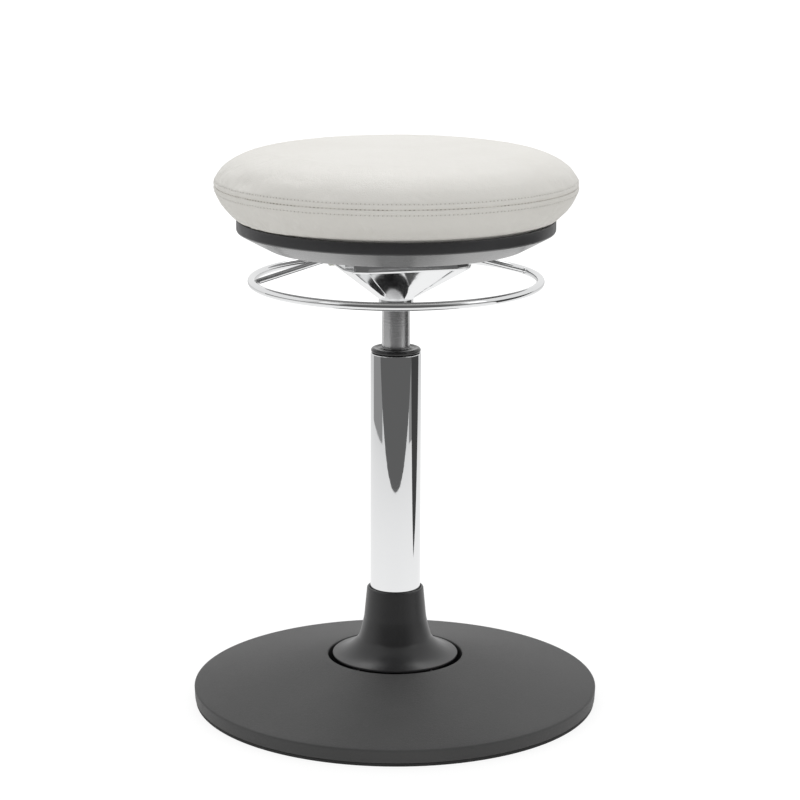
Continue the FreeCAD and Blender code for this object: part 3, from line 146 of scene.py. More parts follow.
def turned(name, outline, material, turn=FINE_TURN, sharp=35.0):
    """Solid turned about the column from a closed outline in millimetres."""
    mesh = bpy.data.meshes.new(name)
    points = []
    for radius, height in outline:
        for k in range(turn):
            angle = TAU * k / turn
            points.append((radius * MM * math.cos(angle), radius * MM * math.sin(angle),
                           height * MM))
    rows = len(outline)
    faces = []
    for i in range(rows):
        below = i * turn
        above = (i + 1) % rows * turn
        for k in range(turn):
            right = (k + 1) % turn
            faces.append((below + k, below + right, above + right, above + k))
    mesh.from_pydata(points, [], faces)
    bm = bmesh.new()
    bm.from_mesh(mesh)
    bmesh.ops.remove_doubles(bm, verts=bm.verts, dist=1e-7)
    bmesh.ops.recalc_face_normals(bm, faces=bm.faces)
    bm.to_mesh(mesh)
    bm.free()
    return new_piece(name, mesh, material, sharp)


def dress(piece, body, slot, *replaced):
    """Ride on a body and stand for the CAD nodes it covers, which are hidden. The slot argument is
    not used.
    """
    if replaced:
        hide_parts(*replaced)
    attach(piece, body)
    return piece


# Materials.


WHITE_DARK = (0.80, 0.782, 0.738)
WHITE_LIGHT = (0.86, 0.845, 0.805)


class Look:
    """A principled material with a few helpers for its procedural detail."""

    def __init__(self, name, color, roughness, metallic=0.0, **sockets):
        self.material = bpy.data.materials.new(name)
        self.material.use_nodes = True
        self.tree = self.material.node_tree
        self.shader = self.tree.nodes["Principled BSDF"]
        self.set(self.shader, **{"Base Color": (*color, 1.0), "Roughness": roughness,
                                 "Metallic": metallic})
        self.set(self.shader, **sockets)
        self.place = self.add("ShaderNodeTexCoord").outputs["Object"]

    def set(self, node, **inputs):
        for key, value in inputs.items():
            node.inputs[key.replace("_", " ")].default_value = value

    def add(self, kind, settings=None, **inputs):
        node = self.tree.nodes.new(kind)
        for key, value in (settings or {}).items():
            setattr(node, key, value)
        for key, value in inputs.items():
            socket = node.inputs[key.replace("_", " ")]
            if isinstance(value, bpy.types.NodeSocket):
                self.tree.links.new(value, socket)
            else:
                socket.default_value = value
        return node

    def math(self, operation, first, second=0.0):
        node = self.tree.nodes.new("ShaderNodeMath")
        node.operation = operation
        for socket, value in zip(node.inputs, (first, second)):
            if isinstance(value, bpy.types.NodeSocket):
                self.tree.links.new(value, socket)
            else:
                socket.default_value = value
        return node.outputs[0]

    def noise(self, scale, detail=3.0, place=None, roughness=0.5):
        node = self.add("ShaderNodeTexNoise", Vector=place or self.place, Scale=scale,
                        Detail=detail, Roughness=roughness)
        return node.outputs["Fac"]

    def radius(self):
        """Distance from the column's axis, in metres."""
        split = self.add("ShaderNodeSeparateXYZ", Vector=self.place)
        x = self.math("MULTIPLY", split.outputs["X"], split.outputs["X"])
        y = self.math("MULTIPLY", split.outputs["Y"], split.outputs["Y"])
        return self.math("SQRT", self.math("ADD", x, y)), split.outputs["Z"]

    def ramp(self, value, *stops):
        node = self.add("ShaderNodeValToRGB", Fac=value)
        elements = node.color_ramp.elements
        while len(elements) < len(stops):
            elements.new(0.5)
        for element, (position, level) in zip(elements, stops):
            element.position = position
            color = level if isinstance(level, tuple) else (level, level, level)
            element.color = (*color, 1.0)
        return node.outputs["Color"]

    def bump(self, height, depth, normal=None):
        node = self.add("ShaderNodeBump", Height=height, Distance=depth)
        if normal is not None:
            self.tree.links.new(normal, node.inputs["Normal"])
        return node.outputs["Normal"]

    def drive(self, socket, value):
        self.tree.links.new(value, self.shader.inputs[socket])


def textured_black():
    look = Look("textured_black", (0.05, 0.05, 0.052), 0.62)
    grain = look.noise(1400.0, 2.0)
    coarse = look.noise(420.0, 2.0)
    patches = look.noise(9.0, 4.0)
    look.drive("Base Color", look.ramp(patches, (0.35, 0.046), (0.7, 0.056)))
    mottled = look.ramp(grain, (0.3, 0.5), (0.75, 0.68))
    look.drive("Roughness", mottled)
    fine = look.bump(grain, 0.00022)
    look.drive("Normal", look.bump(coarse, 0.00018, fine))
    return look.material


def rubber():
    look = Look("black_rubber", (0.02, 0.02, 0.021), 0.8)
    look.drive("Normal", look.bump(look.noise(900.0), 0.0001))
    look.drive("Base Color", look.ramp(look.noise(30.0), (0.3, 0.016), (0.7, 0.026)))
    return look.material


def trumpet_black():
    look = Look("trumpet_black", (0.022, 0.022, 0.023), 0.34, Specular_IOR_Level=0.5)
    look.drive("Roughness", look.ramp(look.noise(60.0, 5.0), (0.3, 0.31), (0.75, 0.38)))
    look.drive("Normal", look.bump(look.noise(1100.0, 2.0), 0.00004))
    return look.material


def collar_black():
    look = Look("collar_black", (0.016, 0.016, 0.017), 0.12, Specular_IOR_Level=0.6)
    look.drive("Roughness", look.ramp(look.noise(120.0, 4.0), (0.3, 0.09), (0.75, 0.16)))
    return look.material


def chrome():
    look = Look("bright_chrome", (0.80, 0.805, 0.81), 0.035, 1.0)
    look.drive("Roughness", look.ramp(look.noise(35.0, 6.0), (0.35, 0.02), (0.8, 0.06)))
    look.drive("Normal", look.bump(look.noise(45.0, 2.0), 0.00003))
    return look.material


def satin_steel():
    look = Look("satin_steel", (0.72, 0.72, 0.725), 0.2, 1.0, Anisotropic=0.3)
    _, height = look.radius()
    lines = look.add("ShaderNodeCombineXYZ", Z=height)
    scratches = look.noise(5200.0, 2.0, lines.outputs["Vector"])
    look.drive("Roughness", look.ramp(scratches, (0.3, 0.2), (0.75, 0.3)))
    look.drive("Normal", look.bump(scratches, 0.00002))
    tangent = look.add("ShaderNodeTangent", {"direction_type": "RADIAL", "axis": "Z"})
    look.drive("Tangent", tangent.outputs["Tangent"])
    return look.material


def pan_metal():
    look = Look("pan_aluminium", (0.31, 0.31, 0.318), 0.3, 1.0, Anisotropic=0.75,
                Anisotropic_Rotation=0.25)
    radius, _ = look.radius()
    rings = look.add("ShaderNodeCombineXYZ", X=radius)
    lines = look.noise(3800.0, 3.0, rings.outputs["Vector"])
    look.drive("Roughness", look.ramp(lines, (0.3, 0.24), (0.75, 0.36)))
    look.drive("Base Color", look.ramp(lines, (0.2, 0.25), (0.8, 0.37)))
    look.drive("Normal", look.bump(lines, 0.00004))
    tangent = look.add("ShaderNodeTangent", {"direction_type": "RADIAL", "axis": "Z"})
    look.drive("Tangent", tangent.outputs["Tangent"])
    return look.material


def band_black():
    look = Look("band_black", (0.032, 0.032, 0.034), 0.4)
    look.drive("Roughness", look.ramp(look.noise(70.0, 5.0), (0.3, 0.36), (0.75, 0.46)))
    look.drive("Normal", look.bump(look.noise(1300.0, 2.0), 0.00003))
    return look.material


def polished_casting():
    look = Look("polished_casting", (0.82, 0.825, 0.83), 0.07, 1.0)
    look.drive("Roughness", look.ramp(look.noise(40.0, 5.0), (0.3, 0.04), (0.8, 0.12)))
    look.drive("Normal", look.bump(look.noise(30.0, 3.0), 0.00012))
    return look.material


def white_leather():
    look = Look("white_leather", (0.80, 0.79, 0.755), 0.5, Specular_IOR_Level=0.4)
    cells = look.add("ShaderNodeTexVoronoi", {"feature": "SMOOTH_F1"}, Vector=look.place,
                     Scale=950.0, Smoothness=0.5)
    pebble = cells.outputs["Distance"]
    folds = look.noise(160.0, 4.0)
    tone = look.noise(7.0, 5.0)
    seam_map = look.add("ShaderNodeUVMap", {"uv_map": "seam_map"})
    split = look.add("ShaderNodeSeparateXYZ", Vector=seam_map.outputs["UV"])
    off_seam = look.math("ABSOLUTE", split.outputs["Y"])
    beat = look.math("COSINE", look.math("MULTIPLY", split.outputs["X"], TAU * STITCHES))
    # Painted shade: the seam groove between stitches and the stitch holes of both thread rows are
    # darkened in the base colour.
    holes = look.math("GREATER_THAN", beat, 0.35)
    uneven = look.noise(55.0, 3.0)
    on_seam = look.math("LESS_THAN", off_seam, 0.42)
    seam_gap_shade = look.math("MULTIPLY", on_seam, look.math("MAXIMUM", holes, 0.35))
    seam_gap_shade = look.math("MULTIPLY", seam_gap_shade, look.ramp(uneven, (0.38, 0.25), (0.62, 0.9)))
    from_row = look.math("ABSOLUTE", look.math("SUBTRACT", off_seam, ROW_GAP))
    hole_shade = look.math("MULTIPLY", look.math("LESS_THAN", from_row, 0.6),
                        look.math("GREATER_THAN", beat, 0.6))
    painted_seam_shade = look.math("MAXIMUM", seam_gap_shade, look.math("MULTIPLY", hole_shade, 0.45))
    leather = look.ramp(tone, (0.3, WHITE_DARK), (0.7, WHITE_LIGHT))
    # The dark colour mixed in here is painted shade in the seam groove and stitch holes.
    mix = look.add("ShaderNodeMixRGB", Fac=painted_seam_shade, Color1=leather,
                   Color2=(0.26, 0.23, 0.19, 1.0))
    look.drive("Base Color", mix.outputs["Color"])
    look.drive("Roughness", look.ramp(folds, (0.3, 0.44), (0.75, 0.58)))
    grained = look.bump(pebble, 0.00022)
    look.drive("Normal", look.bump(folds, 0.0003, grained))
    return look.material


def thread():
    look = Look("thread", (0.84, 0.83, 0.80), 0.6, Sheen_Weight=0.2)
    look.drive("Normal", look.bump(look.noise(2500.0, 2.0), 0.0001))
    look.drive("Base Color", look.ramp(look.noise(300.0), (0.3, (0.74, 0.73, 0.69)),
                                       (0.7, (0.84, 0.83, 0.80))))
    return look.material


def plain_steel():
    look = Look("plain_steel", (0.47, 0.47, 0.48), 0.35, 1.0)
    look.drive("Roughness", look.ramp(look.noise(90.0, 4.0), (0.3, 0.28), (0.75, 0.45)))
    look.drive("Normal", look.bump(look.noise(700.0), 0.00003))
    return look.material


def zinc():
    look = Look("zinc_steel", (0.6, 0.61, 0.63), 0.3, 1.0)
    look.drive("Roughness", look.ramp(look.noise(120.0, 4.0), (0.3, 0.22), (0.75, 0.4)))
    look.drive("Base Color", look.ramp(look.noise(25.0), (0.3, (0.56, 0.57, 0.6)),
                                       (0.7, (0.66, 0.66, 0.66))))
    return look.material


def cast_weight():
    look = Look("cast_weight", (0.1, 0.1, 0.105), 0.8, 0.4)
    look.drive("Normal", look.bump(look.noise(350.0, 5.0), 0.0006))
    look.drive("Base Color", look.ramp(look.noise(40.0, 5.0), (0.3, 0.07), (0.7, 0.14)))
    return look.material


def floor_steel():
    look = Look("floor_steel", (0.05, 0.05, 0.052), 0.5)
    look.drive("Normal", look.bump(look.noise(500.0, 3.0), 0.0001))
    look.drive("Roughness", look.ramp(look.noise(50.0, 4.0), (0.3, 0.42), (0.75, 0.6)))
    return look.material


def liner_polymer():
    look = Look("liner_polymer", (0.72, 0.71, 0.64), 0.45, Subsurface_Weight=0.1)
    look.drive("Roughness", look.ramp(look.noise(200.0), (0.3, 0.4), (0.75, 0.52)))
    return look.material


def plywood():
    look = Look("plywood", (0.55, 0.4, 0.24), 0.7)
    stretch = look.add("ShaderNodeMapping", Vector=look.place, Scale=(4.0, 60.0, 60.0))
    grain = look.noise(8.0, 6.0, stretch.outputs["Vector"])
    look.drive("Base Color", look.ramp(grain, (0.3, (0.42, 0.29, 0.16)),
                                       (0.7, (0.66, 0.5, 0.32))))
    look.drive("Normal", look.bump(grain, 0.0002))
    return look.material


def foam():
    look = Look("foam", (0.84, 0.78, 0.58), 0.95)
    look.drive("Normal", look.bump(look.noise(800.0), 0.0006))
    look.drive("Base Color", look.ramp(look.noise(60.0), (0.3, (0.8, 0.74, 0.54)),
                                       (0.7, (0.87, 0.82, 0.63))))
    return look.material


looks = {
    "textured_black": textured_black(),
    "floor_steel": floor_steel(),
    "cast_weight": cast_weight(),
    "black_rubber": rubber(),
    "plain_steel": plain_steel(),
    "zinc_steel": zinc(),
    "liner_polymer": liner_polymer(),
    "trumpet_black": trumpet_black(),
    "bright_chrome": chrome(),
    "collar_black": collar_black(),
    "satin_steel": satin_steel(),
    "polished_casting": polished_casting(),
    "pan_aluminium": pan_metal(),
    "band_black": band_black(),
    "plywood": plywood(),
    "foam": foam(),
    "white_leather": white_leather(),
}
slot_of = {part["node"]: part["material_slot"] for part in frame["record"]["subparts"]}
for name, node in nodes.items():
    node.data.materials.clear()
    node.data.materials.append(looks[slot_of[name]])


# Base, trumpet, column and gas tube.


def dress_base():
    outline = fillet([
        (199.0, 3.0), (201.4, 3.0, 0.8), (202.6, 4.2, 0.8), (203.2, 15.6, 0.9),
        (202.2, 16.75, 1.0), (68.6, 46.2, 1.0), (67.6, 45.2, 0.8), (67.6, 11.5),
        (54.3, 11.5), (54.3, 9.0), (71.2, 9.0), (71.2, 41.9), (199.0, 13.7),
    ])
    dense = []
    for i, point in enumerate(outline):
        previous = outline[i - 1]
        steps = max(1, int((point - previous).length / 6.0))
        dense += [previous.lerp(point, k / steps) for k in range(1, steps + 1)]
    base = turned("base_shell", dense, looks["textured_black"], 360)
    dress(base, "base", "textured_black", "base_cover")


def dress_trumpet():
    rim, wall = 47.4, 2.3
    outer = [(62.4, rim - wall), (63.1, rim - wall + 0.5), (63.25, rim - 0.9), (62.9, rim)]
    outer += arc(outer[-1], (48.4, rim + 5.6), (36.9, rim + 16.4), 18)
    outer.append((36.9, rim + 16.4))
    outer += arc(outer[-1], (33.6, rim + 27.6), (31.2, rim + 38.6), 14)
    outer += fillet([(31.2, rim + 38.6), (28.4, 115.6, 0.9), (27.4, 116.6, 0.5),
                     (26.2, 116.5, 0.4), (25.4, 115.4, 0.4), (25.4, 113.3, 0.0)])
    inner = [(26.1, 110.0), (28.9, rim + 38.6), (31.4, rim + 27.0), (38.0, 58.5), (38.0, 50.0),
             (44.0, 50.0), (44.0, 54.0)]
    trumpet = turned("trumpet_shell", outer + inner, looks["trumpet_black"])
    dress(trumpet, "column", "trumpet_black", "trumpet_cover")


def dress_column():
    tube = turned("chromed_tube", fillet([
        (22.3, 52.0), (24.2, 52.0, 0.3), (25.1, 78.0), (TUBE_RADIUS, TUBE_TOP, 0.9),
        (23.2, TUBE_TOP, 0.4), (23.2, 78.0),
    ]), looks["bright_chrome"])
    dress(tube, "column", "bright_chrome", "column_tube")
    top = TUBE_TOP
    collar = [(14.05, 301.9), (23.15, 301.9), (23.15, top), (22.4, top + 0.05)]
    collar += arc((22.4, top + 0.05), (24.65, top + 2.5), (22.4, top + 4.9), 12)
    collar += [(22.4, top + 4.9), (21.4, top + 5.0), (20.0, top + 4.6), (18.6, top + 4.1),
               (17.0, top + 4.2), (15.6, top + 4.9), (14.9, top + 5.3), (14.05, top + 5.2)]
    bush = turned("collar", collar, looks["collar_black"])
    dress(bush, "column", "collar_black", "guide_bush")


def dress_gas_tube():
    outline = fillet([
        (12.5, 77.4), (14.0, 77.4, 0.4), (14.0, 385.0), (12.6, 441.0, 0.4), (11.1, 441.0),
        (12.5, 385.0),
    ])
    tube = turned("lift_tube", outline, looks["satin_steel"])
    dress(tube, "seat", "satin_steel", "gas_tube")


# Pan and rim band.


def dress_pan():
    outer = [(16.0, PAN_BOTTOM), (100.0, PAN_BOTTOM), (104.0, PAN_BOTTOM + 0.25),
             (112.0, PAN_BOTTOM + 1.1), (127.0, PAN_BOTTOM + 3.6)]
    outer += arc((127.0, PAN_BOTTOM + 3.6), (139.9, PAN_BOTTOM + 10.4), (155.4, PAN_RIM - 0.8), 14)
    outer += [(155.4, PAN_RIM - 0.8), (155.4, PAN_RIM)]
    inner = [(141.0, PAN_RIM), (141.0, PAN_BOTTOM + 15.4), (125.8, PAN_BOTTOM + 6.0),
             (98.8, PAN_BOTTOM + 2.4), (16.0, PAN_BOTTOM + 2.4)]
    pan = turned("pan_shell", outer + inner, looks["pan_aluminium"], 360)
    dress(pan, "seat", "pan_aluminium", "seat_pan")


def dress_band():
    band = turned("band_shell", fillet([
        (143.0, 480.0), (156.1, 480.0, 1.0), (156.1, BAND_TOP, 1.3), (151.9, BAND_TOP, 1.0),
        (151.9, 481.5), (143.0, 481.5),
    ]), looks["band_black"], 360)
    dress(band, "seat", "band_black", "rim_band")


# Bracket.


BRACKET_CIRCLE = (0.0, 6.0, 12.0, 18.0, 24.0, 29.0, 31.0, 34.5, 38.0, 41.5, 43.0, 44.0, 45.0)


def eight_ways(eighth):
    """Closed row from the points of one eighth, from a face's middle to a corner's."""
    quarter = eighth[:-1] + [Vector((y, x)) for x, y in reversed(eighth)]
    row = []
    for k in range(4):
        turn = Matrix.Rotation(k * math.pi / 2, 2)
        row += [turn @ point for point in quarter[:-1]]
    return row


def bracket_circle(radius):
    return [Vector((math.cos(math.radians(a)), math.sin(math.radians(a)))) * radius
            for a in BRACKET_CIRCLE]


def bracket_square(half, bulge, step, edge=43.5):
    """Points from the middle of a face to a corner: a bowed face, a step and a flat rib."""
    points = []
    for across in (0.0, 0.2, 0.4, 0.6, 0.8, 1.0):
        points.append(Vector((half - bulge * across ** 2, edge * across)))
    start = points[-1] + Vector((step, 0.7))
    tip = Vector((half - 5.4, half - 7.2))
    points += [start, start.lerp(tip, 0.33), start.lerp(tip, 0.67), tip]
    corner = Vector((half - 5.9, half - 5.9))
    points += [tip.lerp(corner, 0.4) + Vector((0.2, 0.0)), tip.lerp(corner, 0.75)
               + Vector((0.15, 0.0)), corner]
    return points


def carve(piece, *cutters):
    """Cut closed meshes out of a piece and drop them."""
    for cutter in cutters:
        cut = piece.modifiers.new("cut", "BOOLEAN")
        cut.operation = "DIFFERENCE"
        cut.solver = "EXACT"
        cut.use_self = True
        cut.object = cutter
    bpy.context.view_layer.update()
    mesh = bpy.data.meshes.new_from_object(
        piece.evaluated_get(bpy.context.evaluated_depsgraph_get()))
    piece.modifiers.clear()
    piece.data = mesh
    for cutter in cutters:
        bpy.data.objects.remove(cutter)


def bar(name, outline, start, end, place):
    """Closed bar with a flat outline, run from one height to another along its own Z."""
    mesh = bpy.data.meshes.new(name)
    count = len(outline)
    points = [(x * MM, y * MM, h * MM) for h in (start, end) for x, y in outline]
    faces = [tuple(reversed(range(count))), tuple(range(count, 2 * count))]
    faces += [(k, (k + 1) % count, (k + 1) % count + count, k + count) for k in range(count)]
    mesh.from_pydata(points, [], faces)
    mesh.transform(place)
    piece = bpy.data.objects.new(name, mesh)
    bpy.context.scene.collection.objects.link(piece)
    return piece


def dress_bolts():
    mesh = bpy.data.meshes.new("seat_bolt_set")
    bm = bmesh.new()
    profile = [(0.0, 448.2), (3.2, 448.2), (4.0, 448.8), (4.0, 451.0), (3.0, 451.0),
               (3.0, 491.2), (2.5, 491.7), (0.0, 491.7)]
    for k in range(4):
        angle = BRACKET_TURN + math.pi / 4 + k * math.pi / 2
        middle = Vector((math.cos(angle), math.sin(angle), 0)) * BOLT_CIRCLE * MM
        rows = []
        for radius, height in profile:
            rows.append([bm.verts.new(middle + Vector((radius * MM * math.cos(TAU * i / 24),
                                                       radius * MM * math.sin(TAU * i / 24),
                                                       height * MM))) for i in range(24)])
        for low, high in zip(rows, rows[1:]):
            for i in range(24):
                right = (i + 1) % 24
                bm.faces.new((low[i], low[right], high[right], high[i]))
    bmesh.ops.remove_doubles(bm, verts=bm.verts, dist=1e-7)
    bm.to_mesh(mesh)
    bm.free()
    bolts = new_piece("seat_bolt_set", mesh, looks["zinc_steel"])
    dress(bolts, "seat", "zinc_steel", "seat_bolts")


def dress_bracket():
    straight = HUB_BOTTOM + 6.0
    rows = []
    for height, radius in ((HUB_BOTTOM, 16.6), (HUB_BOTTOM + 0.6, 17.2), (straight - 1.0, 17.2)):
        rows.append((height, eight_ways(bracket_circle(radius))))
    low, high = bracket_circle(17.2), bracket_square(63.3, 6.2, 1.9)
    steps = 40
    for k in range(steps + 1):
        share = k / steps
        eighth = [a.lerp(b, share) for a, b in zip(low, high)]
        rows.append((straight + (BRACKET_LIP - straight) * share, eight_ways(eighth)))
    for height, half in ((BRACKET_LIP, 63.2), (BRACKET_LIP + 0.3, 63.7), (BRACKET_LIP + 1.7, 64.2),
                         (BRACKET_LIP + 2.0, 64.0), (BRACKET_LIP + 2.1, 62.8),
                         (BRACKET_TOP - 0.4, 63.0), (BRACKET_TOP, 62.6)):
        eighth = bracket_square(half, 0.3, 0.0)
        rows.append((height, eight_ways(eighth)))
    for height, radius in ((BRACKET_TOP, 56.0), (437.0, 30.0), (437.0, 12.9),
                           (HUB_BOTTOM, 13.6)):
        rows.append((height, eight_ways(bracket_circle(radius))))
    around = len(rows[0][1])
    points = [(x * MM, y * MM, height * MM) for height, row in rows for x, y in row]
    faces = []
    for i in range(len(rows)):
        near, far = i * around, (i + 1) % len(rows) * around
        for k in range(around):
            right = (k + 1) % around
            faces.append((near + k, near + right, far + right, far + k))
    mesh = bpy.data.meshes.new("bracket_casting")
    mesh.from_pydata(points, [], faces)
    casting = bpy.data.objects.new("bracket_casting", mesh)
    bpy.context.scene.collection.objects.link(casting)
    slot = [(LEVER_OFFSET + SLOT_HALF, 470.0), (LEVER_OFFSET - SLOT_HALF, 470.0)]
    slot += [(LEVER_OFFSET + SLOT_HALF * math.cos(math.pi + math.pi * k / 12),
              LEVER_HEIGHT + SLOT_HALF * math.sin(math.pi + math.pi * k / 12))
             for k in range(13)]
    lengthwise = Matrix(((0, 0, 1, 0), (1, 0, 0, 0), (0, 1, 0, 0), (0, 0, 0, 1)))
    carve(casting, bar("lever_slot", slot, -90.0, 90.0, lengthwise))
    mesh = casting.data
    mesh.transform(Matrix.Rotation(BRACKET_TURN, 4, "Z"))
    mesh.materials.clear()
    mesh.materials.append(looks["polished_casting"])
    mesh.shade_smooth()
    mesh.set_sharp_from_angle(angle=math.radians(4.0))
    dress(casting, "seat", "polished_casting", "seat_bracket")


# Lever ring.


def tube_along(name, path, radius, material, sides=24):
    """Round bar that follows a line of points, with closed ends."""
    curve = bpy.data.curves.new(name, "CURVE")
    curve.dimensions = "3D"
    curve.bevel_depth = radius
    curve.bevel_resolution = sides // 4
    curve.use_fill_caps = True
    spline = curve.splines.new("POLY")
    spline.points.add(len(path) - 1)
    for point, place in zip(spline.points, path):
        point.co = (*place, 1.0)
    holder = bpy.data.objects.new(name + "_line", curve)
    bpy.context.scene.collection.objects.link(holder)
    bpy.context.view_layer.update()
    mesh = bpy.data.meshes.new_from_object(
        holder.evaluated_get(bpy.context.evaluated_depsgraph_get()))
    bpy.data.objects.remove(holder)
    mesh.materials.clear()
    return new_piece(name, mesh, material, 50.0)


def dress_ring():
    turn = Matrix.Rotation(BRACKET_TURN, 4, "Z")
    wire = []
    for k in range(28):
        angle = TAU * k / 28
        wire.append((RING_RADIUS + RING_WIRE * math.cos(angle),
                     RING_HEIGHT + RING_WIRE * math.sin(angle)))
    hoop = turned("lever_hoop", wire, looks["bright_chrome"], 360, 60.0)
    end = math.sqrt(RING_RADIUS ** 2 - LEVER_OFFSET ** 2)
    run = end - LEVER_HALF
    drop = LEVER_HEIGHT - RING_HEIGHT
    reach = math.hypot(run, SPOKE_BEND - drop)
    bend = math.atan2(drop - SPOKE_BEND, run) + math.asin(SPOKE_BEND / reach)
    half = [(LEVER_HALF, LEVER_HEIGHT)]
    half += [(LEVER_HALF + SPOKE_BEND * math.sin(bend * k / 8),
              LEVER_HEIGHT - SPOKE_BEND + SPOKE_BEND * math.cos(bend * k / 8))
             for k in range(1, 9)]
    half.append((end - RING_WIRE * 0.5, RING_HEIGHT + 0.9))
    path = [(-x, h) for x, h in reversed(half)] + half
    line = [turn @ Vector((x * MM, LEVER_OFFSET * MM, h * MM)) for x, h in path]
    rod = tube_along("lever_rod", line, LEVER_WIRE * MM, looks["bright_chrome"])
    for side in (-1, 1):
        bead_at = turn @ Vector(((end - RING_WIRE) * side * MM, LEVER_OFFSET * MM,
                                 (RING_HEIGHT + 1.2) * MM))
        bead = bpy.data.meshes.new("lever_weld")
        bm = bmesh.new()
        bmesh.ops.create_icosphere(bm, subdivisions=4, radius=WELD_RADIUS * MM)
        for vertex in bm.verts:
            lumps = noise.noise(vertex.co * 700.0) * 0.35 * MM
            vertex.co += vertex.co.normalized() * lumps
            vertex.co.z *= 0.78
        bm.to_mesh(bead)
        bm.free()
        weld = new_piece("lever_weld_left" if side < 0 else "lever_weld_right", bead,
                         looks["bright_chrome"], 60.0)
        weld.data.transform(Matrix.Translation(bead_at))
        dress(weld, "release_ring", "bright_chrome")
    dress(hoop, "release_ring", "bright_chrome", "release_ring")
    dress(rod, "release_ring", "bright_chrome", "release_ring")


# Cushion.


UPPER = [
    (0.0, 558.6), (30.0, 558.5), (58.0, 558.2), (88.0, 557.6), (116.0, 556.9), (139.5, 554.3),
    (159.1, 547.1), (170.4, 538.7), (175.6, 531.0), (SEAM_RADIUS, SEAM_HEIGHT),
]
LOWER = [
    (SEAM_RADIUS, SEAM_HEIGHT), (175.6, 517.2), (172.8, 511.0), (169.4, 505.9), (161.6, 498.3),
    (156.6, 494.2), (153.4, 492.4), (151.0, 490.9), (150.6, 486.5),
]


def profile_at(points, places):
    """Points on a smooth curve through the given ones, at lengths along it."""
    pts = np.array(points)
    steps = np.r_[0, np.cumsum(np.hypot(*np.diff(pts, axis=0).T))]
    slopes = np.gradient(pts, steps, axis=0)
    at = np.clip(places, 0, steps[-1])
    cell = np.clip(np.searchsorted(steps, at, "right") - 1, 0, len(steps) - 2)
    width = steps[cell + 1] - steps[cell]
    t = ((at - steps[cell]) / width)[:, None]
    width = width[:, None]
    return ((2 * t ** 3 - 3 * t ** 2 + 1) * pts[cell] + (t ** 3 - 2 * t ** 2 + t) * width
            * slopes[cell] + (3 * t ** 2 - 2 * t ** 3) * pts[cell + 1] + (t ** 3 - t ** 2)
            * width * slopes[cell + 1])


def spaced(length, fine, fine_reach, coarse):
    """Distances from the seam, close together beside it and wider further off."""
    out = list(np.arange(0, fine_reach, fine))
    rest = max(2, int((length - fine_reach) / coarse))
    out += list(np.linspace(fine_reach, length, rest + 1))
    return np.array(out)


def lathe(line, around):
    """Grid of points, in metres, from a profile in millimetres turned about the column."""
    angle = TAU * np.arange(around) / around
    grid = np.zeros((len(line), around, 3))
    grid[:, :, 0] = line[:, :1] * np.cos(angle)
    grid[:, :, 1] = line[:, :1] * np.sin(angle)
    grid[:, :, 2] = line[:, 1:]
    return grid * MM


def cover_line():
    """Profile of the cover with each point's distance from the seam, above it positive."""
    upper = UPPER[::-1]
    up_length = np.hypot(*np.diff(np.array(upper), axis=0).T).sum()
    low_length = np.hypot(*np.diff(np.array(LOWER), axis=0).T).sum()
    up = spaced(up_length, 3.0, 42.0, 9.0)[::-1]
    down = spaced(low_length, 3.0, 24.0, 5.0)[1:]
    line = np.vstack([profile_at(upper, up), profile_at(LOWER, down)])
    return line, np.r_[up, -down]


def grid_mesh(name, grid):
    """Mesh from rows of points round the axis; the first row is a single pole."""
    rows, turn, _ = grid.shape
    points = [tuple(grid[0].mean(axis=0))] + [tuple(p) for row in grid[1:] for p in row]
    faces = [(0, 1 + k, 1 + (k + 1) % turn) for k in range(turn)]
    for i in range(rows - 2):
        near = 1 + i * turn
        far = near + turn
        for k in range(turn):
            right = (k + 1) % turn
            faces.append((near + k, far + k, far + right, near + right))
    mesh = bpy.data.meshes.new(name)
    mesh.from_pydata(points, [], faces)
    return mesh


def fullness(angle):
    """How slack the cover is round the seam: most of it at the front left."""
    left = np.exp(-(((angle - 3.85) / 0.45) ** 2))
    right = 0.35 * np.exp(-(((angle - 5.9) / 0.5) ** 2))
    back = 0.3 * np.exp(-(((angle - 1.3) / 0.8) ** 2))
    return left + right + back


